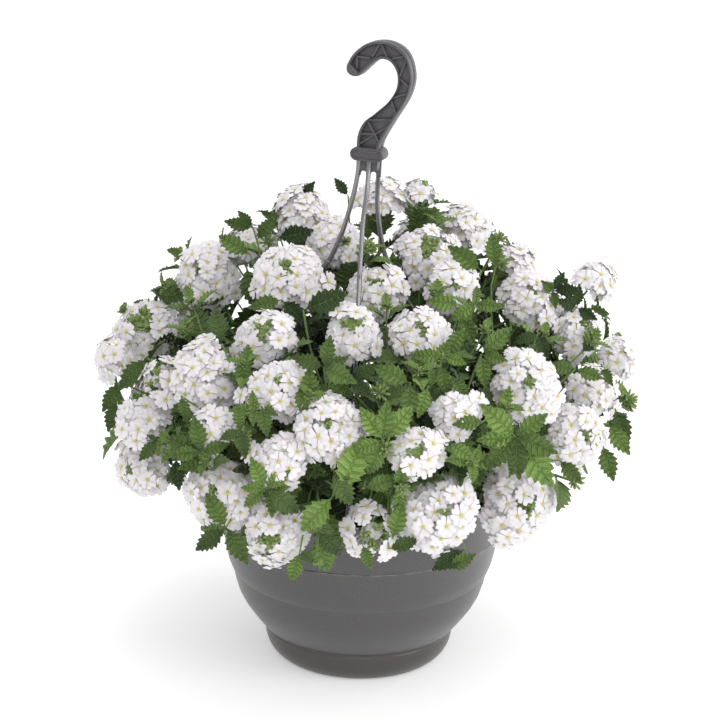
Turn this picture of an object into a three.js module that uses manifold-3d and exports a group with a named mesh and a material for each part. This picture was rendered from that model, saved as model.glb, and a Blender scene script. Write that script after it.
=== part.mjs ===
// White verbena in a grey plastic hanging bowl, with a clip-on drip saucer and a moulded
// three-armed hanger. Millimetres, +Z up, origin in the middle of the saucer's flat
// underside. The front of the bowl faces -Y.
import * as THREE from 'three';
import { ConvexHull } from 'three/addons/math/ConvexHull.js';
import { mergeVertices } from 'three/addons/utils/BufferGeometryUtils.js';
import Module from 'manifold-3d';

// ---------------------------------------------------------------- driving dimensions

const GAP = 0.3;               // left between pieces that touch

const SAUCER_FOOT = 81;        // radius of the flat that the whole thing stands on
const SAUCER_TOP = 96;         // outer radius at the saucer's lip
const SAUCER_HEIGHT = 32;
const SAUCER_FLOOR = 3;
const PEG_RADIUS = 3.2;        // three pegs that stand up into drain holes
const DRAIN_RADIUS = 4.2;
const DRAIN_RING = 58;         // radius of the ring that the drain holes lie on
const DRAIN_HOLES = 6;

const BOWL_BASE = 97;          // outer radius of the bowl's flat underside
const BOWL_RADIUS = 142.6;     // outer radius just below the rim
const BOWL_FLOOR = 2.5;
const RIM_HEIGHT = 186;
const RIM_LIP = 146;           // outer radius of the turned-out lip
const LIP_UNDERSIDE = 182;
const LUG_REACH = 152;         // outer radius of the three lugs that the hanger clips to
const LUG_WIDTH = 16;
const CLIP_RING = 147.5;       // radius of the ring that the lugs' slots lie on
const ROUND_SIDES = 26;        // facets round the bowl and saucer

const SOIL_EDGE = 166;         // height of the soil at the bowl's wall
const SOIL_TOP = 176;          // and at its middle
const SOIL_SIDES = 13;

const COLLAR_BASE = 512;       // underside of the hanger's collar
const COLLAR_HEIGHT = 13;
const COLLAR_WIDTH = 34;
const COLLAR_DEPTH = 17;
const HOOK_DEPTH = 15;         // the hook's flanges, front to back
const HOOK_WEB = 4.5;
const HOOK_RIB = 12;
const FLANGE = 2.4;            // the flanges' own thickness, in the plane of the hook
const HOOK_TURN = -21;         // degrees that the hook is turned about the upright
const ARM_WIDTH = 4.6;
const ARM_DEPTH = 3.8;
const ARM_BEARINGS = [-5, 115, -125];  // front, right and left arm, degrees from the front
const ARM_RUNS = 11;           // straight runs along an arm
const CLIP_BARB = 1.5;         // how far the clip's barb stands out to each side
const CLIP_BELOW = 5;          // how far the clip reaches below the lug
const YOKE_THICKNESS = 4;
const ARCH_WIDTH = 6.4;        // the two round-topped openings in the yoke
const ARCH_OFFSET = 5.2;       // of each opening from the yoke's middle

const CROWN_RADIUS = 262;      // reach of the flower heads
const CROWN_MIDDLE = 275;      // height at which the plant is widest
const CROWN_FRONT_TOP = 135;   // rise of the crown above its middle, at the front
const CROWN_BACK_TOP = 190;    // and at the fuller back
const CROWN_SKIRT = 105;       // fall of the crown below its middle
const HEAD_SUNK = 0.42;        // how far a head's middle lies inside the crown, in widths

const TRUNK_RING = 66;         // radius of the ring that the three plants stand on
const TRUNK_RADIUS = 6;
const TRUNK_HEIGHT = 46;       // above the soil
const ROOT_DEPTH = 16;         // how far a trunk stands down in its hole
const STEM_WIDTH = 3;
const STEM_STEPS = 3;

const LEAF_LENGTH = 50;
const LEAF_WIDTH = 34;
const LEAF_THICKNESS = 1.7;    // at the midrib, thinning to the edges
const LEAF_CLEARANCE = 1.5;    // kept from flower heads and from the next plant
const LEAF_SPACING = 8;        // between points of one blade and points of another
const LEAF_OVERHANG = 14;      // how far a leaf may stand out past the flower heads
const LEAF_PAIRS = [0.87, 0.7];  // where opposite leaves stand on a stem, as shares of it
const LOW_PAIR_EVERY = 8;      // only each eighth stem bears the lower pair

// ---------------------------------------------------------------- colours

const BOWL_GREY = '#69686a';
const SAUCER_GREY = '#565453';
const HOOK_GREY = '#4b484b';
const PEAT = '#3a2b20';
const PETAL_WHITE = '#f1eff4';
const LEAF_GREENS = ['#4d7a33', '#55823a', '#487432'];

// ---------------------------------------------------------------- helpers

const wasm = await Module();
wasm.setup();

const UP = new THREE.Vector3(0, 0, 1);
const vec = (x, y, z) => new THREE.Vector3(x, y, z);
const radians = THREE.MathUtils.degToRad;

// A repeatable draw between 0 and 1 for a whole-number seed.
function draw(seed) {
  const wave = Math.sin(seed * 12.9898) * 43758.5453;
  return wave - Math.floor(wave);
}

// A point at a radius and height, on a bearing in degrees counted from the front.
function bearingPoint(radius, bearing, height) {
  const turn = radians(bearing);
  return vec(radius * Math.sin(turn), -radius * Math.cos(turn), height);
}

// Drops all but the positions, merges shared corners and removes triangles without area.
function weld(geometry) {
  const bare = geometry.clone();
  bare.deleteAttribute('normal');
  bare.deleteAttribute('uv');
  const merged = mergeVertices(bare, 1e-4);
  const corners = [];
  for (let i = 0; i < merged.index.count; i += 3) {
    const [a, b, c] = [merged.index.getX(i), merged.index.getX(i + 1), merged.index.getX(i + 2)];
    if (a !== b && b !== c && c !== a) corners.push(a, b, c);
  }
  merged.setIndex(corners);
  return merged;
}

function toSolid(geometry) {
  const welded = weld(geometry);
  return new wasm.Manifold(new wasm.Mesh({
    numProp: 3,
    vertProperties: new Float32Array(welded.attributes.position.array),
    triVerts: new Uint32Array(welded.index.array),
  }));
}

function toGeometry(solid) {
  const mesh = solid.getMesh();
  const geometry = new THREE.BufferGeometry();
  geometry.setAttribute('position', new THREE.BufferAttribute(mesh.vertProperties, 3));
  geometry.setIndex(new THREE.BufferAttribute(mesh.triVerts, 1));
  return geometry;
}

// Joins solids one after another into the first.
function fuse(solids) {
  return solids.reduce((whole, next) => whole.add(next));
}

function cut(solid, tools) {
  return tools.reduce((rest, tool) => rest.subtract(tool), solid);
}

// A solid turned about the upright axis from [radius, height] corners.
function turned(corners, sides) {
  const profile = corners.map(([radius, height]) => new THREE.Vector2(radius, height));
  return new THREE.LatheGeometry(profile, sides).rotateX(Math.PI / 2);
}

// An upright prism with its middle at a point on the ground plane.
function post(radius, from, to, sides, middle) {
  const prism = new THREE.CylinderGeometry(radius, radius, to - from, sides);
  prism.rotateX(Math.PI / 2);
  return prism.translate(middle.x, middle.y, (from + to) / 2);
}

// A flat outline given thickness to both sides of its plane.
function plate(shape, depth) {
  const body = new THREE.ExtrudeGeometry(shape, { depth, bevelEnabled: false, curveSegments: 4 });
  return body.translate(0, 0, -depth / 2);
}

// A section swept along a curve.
function swept(curve, section, steps) {
  return new THREE.ExtrudeGeometry(section, { steps, extrudePath: curve, bevelEnabled: false });
}

function polygon(sides, width, depth) {
  const corners = Array.from({ length: sides }, (_, i) => {
    const turn = ((i + 0.5) / sides) * 2 * Math.PI;
    return new THREE.Vector2((width / 2) * Math.cos(turn), (depth / 2) * Math.sin(turn));
  });
  return new THREE.Shape(corners);
}

function stadium(width, height) {
  const half = width / 2 - height / 2;
  const shape = new THREE.Shape();
  shape.absarc(half, 0, height / 2, -Math.PI / 2, Math.PI / 2);
  shape.absarc(-half, 0, height / 2, Math.PI / 2, Math.PI * 1.5);
  return shape;
}

function named(name, geometry, color, roughness) {
  const material = new THREE.MeshStandardMaterial({ color, roughness, metalness: 0 });
  const mesh = new THREE.Mesh(geometry, material);
  mesh.name = name;
  return mesh;
}

// ---------------------------------------------------------------- bowl, saucer and soil

const drainPlaces = Array.from({ length: DRAIN_HOLES },
  (_, i) => bearingPoint(DRAIN_RING, (i * 360) / DRAIN_HOLES, 0));
const bowlUnderside = SAUCER_HEIGHT + GAP;
const bowlFloor = bowlUnderside + BOWL_FLOOR;

// A cup whose lip carries the bowl, with pegs that reach into every second drain hole.
function dripSaucer() {
  const cup = toSolid(turned([
    [0, 0], [SAUCER_FOOT, 0], [88.6, 5], [93.4, 12], [96.3, 24],
    [SAUCER_TOP, SAUCER_HEIGHT], [SAUCER_TOP - 2, SAUCER_HEIGHT],
    [SAUCER_FOOT + 2, SAUCER_FLOOR], [0, SAUCER_FLOOR],
  ], ROUND_SIDES));
  const pegs = drainPlaces.filter((_, i) => i % 2 === 0)
    .map((place) => toSolid(post(PEG_RADIUS, SAUCER_FLOOR - 1, bowlFloor, 6, place)));
  return toGeometry(fuse([cup, ...pegs]));
}

// The bowl's outer wall rises in three bulging bands, with a small step between them.
function bowl() {
  const wall = toSolid(turned([
    [0, bowlUnderside], [BOWL_BASE, bowlUnderside], [102.3, 36.5], [108, 44], [113.2, 51],
    [124.2, 70], [129.9, 92.4], [131.2, 94], [137.4, 115], [140, 136.4], [141, 137.4],
    [BOWL_RADIUS, LIP_UNDERSIDE], [RIM_LIP, LIP_UNDERSIDE], [RIM_LIP, RIM_HEIGHT],
    [139.6, RIM_HEIGHT], [138.8, 137], [129, 94], [121.6, 70.5], [110.6, 51.5], [100, 37.8],
    [92, bowlFloor], [0, bowlFloor],
  ], ROUND_SIDES));
  const lugs = [];
  const slots = [];
  for (const bearing of ARM_BEARINGS) {
    const depth = LUG_REACH - BOWL_RADIUS + 2;
    const height = RIM_HEIGHT - LIP_UNDERSIDE;
    const lug = new THREE.BoxGeometry(LUG_WIDTH, depth, height);
    const slot = new THREE.BoxGeometry(ARM_WIDTH + 3, ARM_DEPTH - 0.2, height + 2);
    for (const [part, radius] of [[lug, LUG_REACH - depth / 2], [slot, CLIP_RING]]) {
      part.translate(0, -radius, LIP_UNDERSIDE + height / 2);
      part.rotateZ(radians(bearing));
    }
    lugs.push(toSolid(lug));
    slots.push(toSolid(slot));
  }
  const drains = drainPlaces.map((place) =>
    toSolid(post(DRAIN_RADIUS, bowlUnderside - 1, bowlFloor + 1, 6, place)));
  return toGeometry(cut(fuse([wall, ...lugs]), [...slots, ...drains]));
}

function soilTopAt(radius) {
  const share = Math.min(radius / 138, 1);
  return SOIL_TOP - (SOIL_TOP - SOIL_EDGE) * share * share;
}

const plantBearings = ARM_BEARINGS.map((bearing) => bearing + 60);
const trunkPlaces = plantBearings.map((bearing) => bearingPoint(TRUNK_RING, bearing, 0));
const trunkFoot = soilTopAt(TRUNK_RING) - ROOT_DEPTH;

// Peat that fills the bowl, a little domed, with a plain hole for each plant.
function soil() {
  const filling = toSolid(turned([
    [0, bowlFloor + GAP], [91.4, bowlFloor + GAP], [99.4, 38.2], [110, 51.9], [121, 70.9],
    [128.4, 94.3], [138.2, 137.2], [138.9, SOIL_EDGE],
    [TRUNK_RING * 1.5, soilTopAt(TRUNK_RING * 1.5)],
    [TRUNK_RING * 0.6, soilTopAt(TRUNK_RING * 0.6)], [0, SOIL_TOP],
  ], SOIL_SIDES));
  const holes = trunkPlaces.map((place) =>
    toSolid(post(TRUNK_RADIUS + GAP + 0.1, trunkFoot - GAP, SOIL_TOP + 5, 8, place)));
  return toGeometry(cut(filling, holes));
}

// ---------------------------------------------------------------- hanger

// The hook's two edges, from the collar up and round to the tip, as [right, up] from the
// middle of the collar's top face, in the hook's own plane.
const hookOuterEdge = new THREE.SplineCurve([
  [11.5, -5], [14, 7], [26, 28.5], [36.9, 46.3], [42.2, 59], [43.9, 72], [40.8, 86],
  [34, 96.5], [22, 103], [9, 104], [-4, 100], [-16, 89.6], [-22.3, 78.5],
].map(([x, y]) => new THREE.Vector2(x, y)));
const hookInnerEdge = new THREE.SplineCurve([
  [-10.5, -5], [-9.6, 12], [-3, 25.6], [10, 35.8], [21.5, 47.5], [28.3, 58.7], [29.9, 69],
  [27.5, 78.5], [21, 85.8], [12, 87], [4.2, 82.4], [-3.5, 75], [-9.6, 69.2],
].map(([x, y]) => new THREE.Vector2(x, y)));
const HOOK_STEPS = 10;

// A point on the hook, a share of the way up its length and across from the outer edge.
function onHook(along, inward) {
  const outer = hookOuterEdge.getPoint(along);
  return outer.lerp(hookInnerEdge.getPoint(along), inward);
}

// The hook's outline, drawn in from both edges by a margin.
function hookOutline(margin) {
  const outer = [];
  const inner = [];
  for (let i = 0; i <= HOOK_STEPS; i += 1) {
    const inset = margin === 0 ? 0 : 0.025;
    const along = inset + (i / HOOK_STEPS) * (1 - 2 * inset);
    const width = onHook(along, 0).distanceTo(onHook(along, 1));
    outer.push(onHook(along, margin / width));
    inner.unshift(onHook(along, 1 - margin / width));
  }
  const tip = margin === 0 ? [new THREE.Vector2(-21.8, 71.8), new THREE.Vector2(-16.5, 68.4)] : [];
  return [...outer, ...tip, ...inner];
}

function rib(from, to) {
  const length = from.distanceTo(to);
  const bar = new THREE.BoxGeometry(length, 2, HOOK_RIB);
  bar.rotateZ(Math.atan2(to.y - from.y, to.x - from.x));
  return toSolid(bar.translate((from.x + to.x) / 2, (from.y + to.y) / 2, 0));
}

// Both ends of each rib, as [right, up], just inside the flanges.
const RIB_ENDS = [
  [[-8.5, 2.8], [23, 24.4]], [[-0.4, 25.8], [12.6, 5.6]], [[-8.7, 13], [6, 14.4]],
  [[0.7, 27.3], [26.3, 29.7]], [[23.2, 47.8], [28.8, 34.9]], [[23.8, 50.4], [40.1, 56.4]],
  [[30.9, 69.8], [42.3, 61.8]], [[38, 89], [30.7, 70.6]], [[23.3, 87.9], [36, 91.8]],
  [[11.1, 103], [17.8, 89]], [[11.1, 103], [3, 88]], [[-13.6, 87.6], [1, 86.8]],
  [[-12.6, 88.5], [-12.3, 75.5]],
];

// The hook, collar and yoke lie in one upright plane, built here facing +Z and stood up.
function hookHead() {
  const web = toSolid(plate(new THREE.Shape(hookOutline(0)), HOOK_WEB));
  const edging = new THREE.Shape(hookOutline(0));
  edging.holes.push(new THREE.Path(hookOutline(FLANGE)));
  const flanges = toSolid(plate(edging, HOOK_DEPTH));
  const ribs = RIB_ENDS.map(([from, to]) => rib(new THREE.Vector2(...from), new THREE.Vector2(...to)));

  const collar = toSolid(plate(stadium(COLLAR_WIDTH, COLLAR_HEIGHT), COLLAR_DEPTH)
    .translate(0, -COLLAR_HEIGHT / 2, 0));

  const yoke = new THREE.Shape([[-13, 2], [-12.5, -16], [12.5, -16], [13, 2]]
    .map(([x, y]) => new THREE.Vector2(x, y)));
  const yokePlate = toSolid(plate(yoke, YOKE_THICKNESS).translate(0, -COLLAR_HEIGHT, 0));
  const arches = [-ARCH_OFFSET, ARCH_OFFSET].map((x) => {
    const arch = plate(stadium(20, ARCH_WIDTH), 2 * YOKE_THICKNESS);
    return toSolid(arch.rotateZ(Math.PI / 2).translate(x, -COLLAR_HEIGHT - 21, 0));
  });

  const head = fuse([web, flanges, ...ribs, collar, cut(yokePlate, arches)]);
  const geometry = toGeometry(head);
  geometry.rotateX(Math.PI / 2).rotateZ(radians(HOOK_TURN));
  return toSolid(geometry.translate(0, 0, COLLAR_BASE + COLLAR_HEIGHT));
}

// Each arm runs straight down inside the yoke, bows outward and ends above its lug.
const armRoutes = [
  [[0, 0, 516], [-0.4, -3, 500], [-1.4, -10, 482], [-4.3, -16, 458], [-5.5, -24, 433],
    [-6.5, -33, 408], [-7.2, -46, 380]],
  [[9.8, -3.8, 516], [9.4, -2, 500], [8.8, 3, 482], [9.5, 7, 460], [14.8, 12.5, 426],
    [19.9, 16, 408], [30, 21, 385]],
  [[-9.8, 3.8, 516], [-10.4, 4.5, 500], [-14, 6.5, 478], [-21.7, 9.5, 447],
    [-28.7, 12.5, 426], [-36.3, 16.5, 408], [-47, 22, 385]],
];

function armCurve(index) {
  const bearing = ARM_BEARINGS[index];
  const points = armRoutes[index].map(([x, y, z]) => vec(x, y, z));
  points.push(bearingPoint(CLIP_RING - 16, bearing, RIM_HEIGHT + 42));
  points.push(bearingPoint(CLIP_RING, bearing, RIM_HEIGHT + 6));
  return new THREE.CatmullRomCurve3(points);
}
const armCurves = ARM_BEARINGS.map((_, index) => armCurve(index));

// A flat tongue goes down through the lug's slot and ends in a barb wider than the slot.
function armClip(bearing) {
  const tongue = ARM_WIDTH / 2 + 1;
  const barb = tongue + CLIP_BARB;
  const shoulder = LIP_UNDERSIDE - GAP;
  const end = shoulder - CLIP_BELOW;
  const outline = new THREE.Shape([
    [-tongue, RIM_HEIGHT + 9], [-tongue, shoulder], [-barb, shoulder], [-tongue, end],
    [tongue, end], [barb, shoulder], [tongue, shoulder], [tongue, RIM_HEIGHT + 9],
  ].map(([x, y]) => new THREE.Vector2(x, y)));
  const clip = plate(outline, ARM_DEPTH - 0.8).rotateX(Math.PI / 2);
  return toSolid(clip.translate(0, -CLIP_RING, 0).rotateZ(radians(bearing)));
}

function hanger() {
  const arms = armCurves.map((curve) =>
    toSolid(swept(curve, polygon(4, ARM_WIDTH * 1.2, ARM_DEPTH * 1.2), ARM_RUNS)));
  return toGeometry(fuse([hookHead(), ...arms, ...ARM_BEARINGS.map(armClip)]));
}

// ---------------------------------------------------------------- lie of the plant

// The heads are laid out as someone standing in front sees them, on a plane that faces
// the eye and crosses the bowl's axis.
const EYE = vec(0, -2060, 960);
const AIM = vec(0, 0, 306);
const ahead = AIM.clone().sub(EYE).normalize();
const across = vec(1, 0, 0);
const upward = across.clone().cross(ahead);

// Each row is [right, up, width seen] of one flower head, and how much nearer to the eye
// than the crown it stands, where it does.
const FRONT_HEADS = [
  // top, left to right
  [-67, 149, 58], [-31, 119, 50], [13, 165, 48], [53, 171, 32], [98, 137, 54], [149, 105, 42],
  [59, 111, 54],
  // shoulders
  [-158, 84, 64], [-77, 84, 68, 28], [10, 70, 58, -18], [87, 74, 54], [165, 67, 58], [229, 88, 46],
  [212, 36, 48],
  // upper middle
  [-252, -1, 42], [-217, 30, 58], [-101, 23, 54], [-13, 30, 54], [55, 29, 56], [255, 12, 42],
  // middle
  [-205, -22, 38], [-158, -19, 68], [-83, -29, 62], [93, -48, 48], [162, -21, 70],
  [228, -22, 46],
  // lower middle
  [-223, -64, 48], [-150, -70, 40], [-32, -66, 68], [53, -88, 48], [213, -68, 58],
  // skirt
  [-219, -107, 56], [-139, -133, 68], [-84, -101, 54], [-86, -172, 62], [10, -168, 55],
  [74, -148, 78], [155, -137, 75],
];

// Rings of heads round the back, each from one bearing to another at a height.
const BACK_RINGS = [
  { height: 236, from: 112, to: 248, count: 6, width: 66 },
  { height: 318, from: 125, to: 232, count: 4, width: 68 },
  { height: 392, from: 160, to: 228, count: 3, width: 62 },
];

// Shoots that end in a cluster of green buds, not yet in flower, laid out the same way.
const BUD_WIDTH = 22;
const FRONT_BUDS = [[-249, -62], [-100, 121], [133, 129], [-121, -77], [22, -86], [-132, -171],
  [214, -114], [268, -31], [-44, -200], [15, -27]];

function crownRise(y) {
  const back = THREE.MathUtils.smoothstep(y, -40, 110);
  return CROWN_FRONT_TOP + (CROWN_BACK_TOP - CROWN_FRONT_TOP) * back;
}

// Below 1 inside the crown, drawn in all round by an inset, and above 1 outside it.
function crownFullness(point, inset) {
  const flat = Math.hypot(point.x, point.y) / (CROWN_RADIUS - inset);
  const lift = point.z - CROWN_MIDDLE;
  if (lift > 0) return flat ** 2 + (lift / (crownRise(point.y) - inset)) ** 2;
  return flat ** 4 + (lift / (CROWN_SKIRT - inset)) ** 4;
}

// Follows a line of sight to the crown, or to the nearest it gets.
function sightOnCrown(right, up, widthSeen) {
  const target = AIM.clone().addScaledVector(across, right).addScaledVector(upward, up);
  const far = target.distanceTo(EYE);
  const look = target.sub(EYE).normalize();
  let best = { fullness: Infinity };
  for (let reach = far - 320; reach < far + 160; reach += 2) {
    const point = EYE.clone().addScaledVector(look, reach);
    const width = (widthSeen * reach) / far;
    const fullness = crownFullness(point, width * HEAD_SUNK);
    if (fullness < best.fullness) best = { fullness, point, width };
    if (fullness <= 1) break;
  }
  return best;
}

function outwardAt(point) {
  const step = 2;
  const slope = (offset) => crownFullness(point.clone().add(offset), 0)
    - crownFullness(point.clone().sub(offset), 0);
  const normal = vec(slope(vec(step, 0, 0)), slope(vec(0, step, 0)), slope(vec(0, 0, step)));
  return normal.normalize();
}

// Where a ray at one height and bearing leaves the crown.
function bearingOnCrown(bearing, height, width) {
  let radius = 0;
  const inset = width * HEAD_SUNK;
  while (crownFullness(bearingPoint(radius, bearing, height), inset) < 1) radius += 1;
  return bearingPoint(radius, bearing, height);
}

function layOutHeads() {
  const places = FRONT_HEADS.map(([right, up, seen, nearer = 0]) => {
    const { point, width } = sightOnCrown(right, up, seen);
    const towardsEye = EYE.clone().sub(point).normalize();
    return { point: point.addScaledVector(towardsEye, nearer), width };
  });
  for (const ring of BACK_RINGS) {
    for (let i = 0; i < ring.count; i += 1) {
      const bearing = ring.from + ((ring.to - ring.from) * i) / (ring.count - 1);
      const width = ring.width * (0.92 + 0.16 * draw(places.length));
      places.push({ point: bearingOnCrown(bearing, ring.height, width), width });
    }
  }
  return places.map(({ point, width }) => {
    const axis = outwardAt(point).addScaledVector(UP, 0.3).normalize();
    return { middle: point, radius: width / 2, axis };
  });
}
const heads = layOutHeads();
const buds = FRONT_BUDS.map(([right, up]) => {
  const { point } = sightOnCrown(right, up, BUD_WIDTH);
  return { middle: point, radius: BUD_WIDTH / 2, axis: outwardAt(point) };
});

// ---------------------------------------------------------------- flower heads

// A closed skin through points that each lie on their own line out from one middle.
function burr(spokes) {
  const reachOf = new Map(spokes.map(({ way, reach }) => [way, reach]));
  const hull = new ConvexHull().setFromPoints(spokes.map(({ way }) => way));
  const corners = [];
  for (const face of hull.faces) {
    let edge = face.edge;
    do {
      const way = edge.head().point;
      corners.push(...way.clone().multiplyScalar(reachOf.get(way)).toArray());
      edge = edge.next;
    } while (edge !== face.edge);
  }
  const geometry = new THREE.BufferGeometry();
  geometry.setAttribute('position', new THREE.Float32BufferAttribute(corners, 3));
  return weld(geometry);
}

// A direction at an angle from the head's axis (+Z) and round it.
function spokeWay(angle, turn) {
  return vec(Math.sin(angle) * Math.cos(turn), Math.sin(angle) * Math.sin(turn),
    Math.cos(angle));
}

const HEAD_BASE = 0.6;         // depth of a head below its middle, in radii
const EYE_REACH = 0.86;        // how far out a floret's eye and its clefts lie, in radii
const CLEFT_REACH = 0.76;
const GOLDEN_TURN = Math.PI * (3 - Math.sqrt(5));

// Five-petalled florets spread evenly over a dome, each with an eye, five petal tips and
// five clefts, above a small flat base where the stalk meets the head.
function flowerHead(radius, seed) {
  const florets = Math.round(THREE.MathUtils.clamp(radius / 5.1, 4, 7));
  const lowest = -0.42;
  const spread = Math.sqrt((2 * (1 - lowest)) / florets) * 1.02;
  const spokes = [];
  for (let i = 0; i < florets; i += 1) {
    const rise = 1 - ((i + 0.4) / florets) * (1 - lowest);
    const middle = spokeWay(Math.acos(rise), i * GOLDEN_TURN + seed);
    const side = middle.clone().cross(Math.abs(rise) > 0.9 ? vec(1, 0, 0) : UP).normalize();
    const size = radius * (0.97 + 0.03 * draw(seed * 7 + i));
    spokes.push({ way: middle, reach: size * EYE_REACH });
    for (let k = 0; k < 10; k += 1) {
      const tip = k % 2 === 0;
      const turn = (k / 10) * 2 * Math.PI + draw(seed * 13 + i) * 2;
      const lean = spread * (tip ? 1 : 0.5);
      const about = side.clone().applyAxisAngle(middle, turn);
      const way = middle.clone().multiplyScalar(Math.cos(lean));
      way.addScaledVector(about, Math.sin(lean)).normalize();
      spokes.push({ way, reach: size * (tip ? 1 : CLEFT_REACH) });
    }
  }
  const low = spokes.filter(({ way }) => Math.acos(way.z) < radians(137));
  for (let k = 0; k < 4; k += 1) {
    const angle = Math.atan2(3.4, HEAD_BASE * radius);
    const way = spokeWay(Math.PI - angle, (k / 4) * 2 * Math.PI);
    low.push({ way, reach: (HEAD_BASE * radius) / Math.cos(angle) });
  }
  return burr(low);
}

function headMesh({ middle, radius, axis }, index) {
  const name = `flower_head_${String(index + 1).padStart(2, '0')}`;
  const mesh = named(name, flowerHead(radius, index + 1), PETAL_WHITE, 0.6);
  mesh.position.copy(middle);
  mesh.quaternion.setFromUnitVectors(UP, axis);
  return mesh;
}

// ---------------------------------------------------------------- leafy plants

function bearingOf(point) {
  return THREE.MathUtils.radToDeg(Math.atan2(point.x, -point.y));
}

// Each plant keeps to the third of the bowl between two arms of the hanger. This is how
// far a point lies inside the two upright planes that bound it.
function insideThird(point, plant) {
  const away = radians(bearingOf(point) - plantBearings[plant]);
  const radius = Math.hypot(point.x, point.y);
  return Math.min(radius * Math.sin(radians(60) - away), radius * Math.sin(radians(60) + away));
}

function plantOf(point) {
  const depths = plantBearings.map((_, plant) => insideThird(point, plant));
  return depths.indexOf(Math.max(...depths));
}

const stemSection = polygon(4, STEM_WIDTH * 1.41, STEM_WIDTH * 1.41);

// A stem leaves its trunk slanting up and out, and meets its head along the head's axis.
function stemCurve(start, seat, axis) {
  const reach = start.distanceTo(seat) * 0.33;
  const rise = seat.clone().sub(start).setZ(0).normalize().add(UP).normalize();
  return new THREE.CubicBezierCurve3(start, start.clone().addScaledVector(rise, reach),
    seat.clone().addScaledVector(axis, -reach), seat);
}

// A place on a square stem as it is swept, in straight runs: the point, the way that the
// stem goes there and the way that two of its four faces look.
function onStem(curve, share) {
  const run = Math.min(Math.floor(share * STEM_STEPS), STEM_STEPS - 1);
  const from = curve.getPointAt(run / STEM_STEPS);
  const to = curve.getPointAt((run + 1) / STEM_STEPS);
  const point = from.clone().lerp(to, share * STEM_STEPS - run);
  const along = to.sub(from).normalize();
  const { normals } = curve.computeFrenetFrames(STEM_STEPS, false);
  const face = normals[run].clone().add(normals[run + 1]);
  face.addScaledVector(along, -face.dot(along)).normalize();
  return { point, along, face };
}

// A stem from each plant's trunk to each of its heads, the lowest heads' stems leaving lowest.
function layOutStems() {
  return plantBearings.flatMap((_, plant) => {
    const own = [...heads, ...buds].filter(({ middle }) => plantOf(middle) === plant)
      .sort((a, b) => a.middle.z - b.middle.z);
    return own.map((top, order) => {
      const start = trunkPlaces[plant].clone();
      start.z = trunkFork + ((order + 0.5) / own.length) * TRUNK_HEIGHT;
      const gap = heads.includes(top) ? HEAD_BASE * top.radius + GAP : 0;
      const seat = top.middle.clone().addScaledVector(top.axis, -gap);
      const curve = stemCurve(start, seat, top.axis);
      const points = Array.from({ length: 22 }, (_, i) => onStem(curve, (i + 3) / 24).point);
      return { plant, curve, top, points };
    });
  });
}
const trunkFork = soilTopAt(TRUNK_RING) + 4;
const stems = layOutStems();

// Half a leaf's outline, as [share of length, share of half width], from the neck where the
// stalk widens into the blade, by a lobe, a cleft and a second lobe, towards the tip.
const LEAF_EDGE = [[0.13, 0.1], [0.38, 1], [0.5, 0.5], [0.7, 0.66]];
const LEAF_RIB = [0.13, 0.46, 0.72];

// How far a leaf has risen off its straight line, and sunk again, at a share of its length.
function leafArch(share, length) {
  return length * (0.3 * share - 0.34 * share * share);
}

// A thin arched blade with two lobes a side, lying along +X and facing +Z. Its upper and
// lower skins share the edge and part along the midrib, and its stalk tapers to a point
// that sits inside the stem, at the far side from the leaf.
function leafBlade(length, width) {
  const edge = (side) => LEAF_EDGE.map(([share, out]) => vec(share * length,
    (side * out * width) / 2, leafArch(share, length) + out * width * 0.07));
  const rib = (side) => LEAF_RIB.map((share) => vec(share * length, 0,
    leafArch(share, length) + (side * LEAF_THICKNESS) / 2));
  const root = vec(-STEM_WIDTH * 0.3, 0, 0);
  const tip = vec(length, 0, leafArch(1, length));
  const corners = [];
  const skin = (outline, spine, turn) => {
    const [neck, lobe, cleft, upperLobe] = outline;
    const facets = [
      [root, neck, spine[0]], [neck, spine[1], spine[0]], [neck, lobe, spine[1]],
      [lobe, cleft, spine[1]], [cleft, spine[2], spine[1]], [cleft, upperLobe, spine[2]],
      [upperLobe, tip, spine[2]],
    ];
    for (const [a, b, c] of facets) {
      const facet = turn ? [a, c, b] : [a, b, c];
      corners.push(...facet.flatMap((corner) => corner.toArray()));
    }
  };
  skin(edge(1), rib(1), true);
  skin(edge(-1), rib(1), false);
  skin(edge(1), rib(-1), false);
  skin(edge(-1), rib(-1), true);
  const geometry = new THREE.BufferGeometry();
  geometry.setAttribute('position', new THREE.Float32BufferAttribute(corners, 3));
  return geometry;
}

// The turned and placed frame of a leaf: along its midrib, across it and out of its face.
function leafFrame(base, along, face) {
  const z = face.clone().addScaledVector(along, -face.dot(along)).normalize();
  const y = z.clone().cross(along);
  return new THREE.Matrix4().makeBasis(along, y, z).setPosition(base);
}

// Points over a blade, as [share of length, share of width], that are tested for room.
const LEAF_PROBES = [[0.25, 0], [0.45, 0], [0.45, 0.5], [0.45, -0.5], [0.7, 0], [0.68, 0.37],
  [0.68, -0.37], [0.38, 0.5], [0.38, -0.5], [1, 0]];

const armPoints = armCurves.flatMap((curve) => curve.getSpacedPoints(60));
const near = (points, point, distance) => points.some((other) =>
  other.distanceToSquared(point) < distance * distance);

// True where a blade keeps clear of the heads, arms, rim, soil, stems and other leaves, and
// of the planes between the plants.
function hasRoom(probes, stem, leaves) {
  return probes.every((point) => {
    const radius = Math.hypot(point.x, point.y);
    if (insideThird(point, stem.plant) < LEAF_CLEARANCE) return false;
    if (point.z < RIM_HEIGHT + 8 && radius < LUG_REACH + 6) return false;
    if (crownFullness(point, -LEAF_OVERHANG) > 1) return false;
    if (near(armPoints, point, 9)) return false;
    if (stems.some((other) => other !== stem && near(other.points, point, 6))) return false;
    if (leaves.some((leaf) => near(leaf.probes, point, LEAF_SPACING))) return false;
    return [...heads, ...buds].every(({ middle, radius: reach }) =>
      point.distanceTo(middle) > reach + LEAF_CLEARANCE);
  });
}

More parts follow.
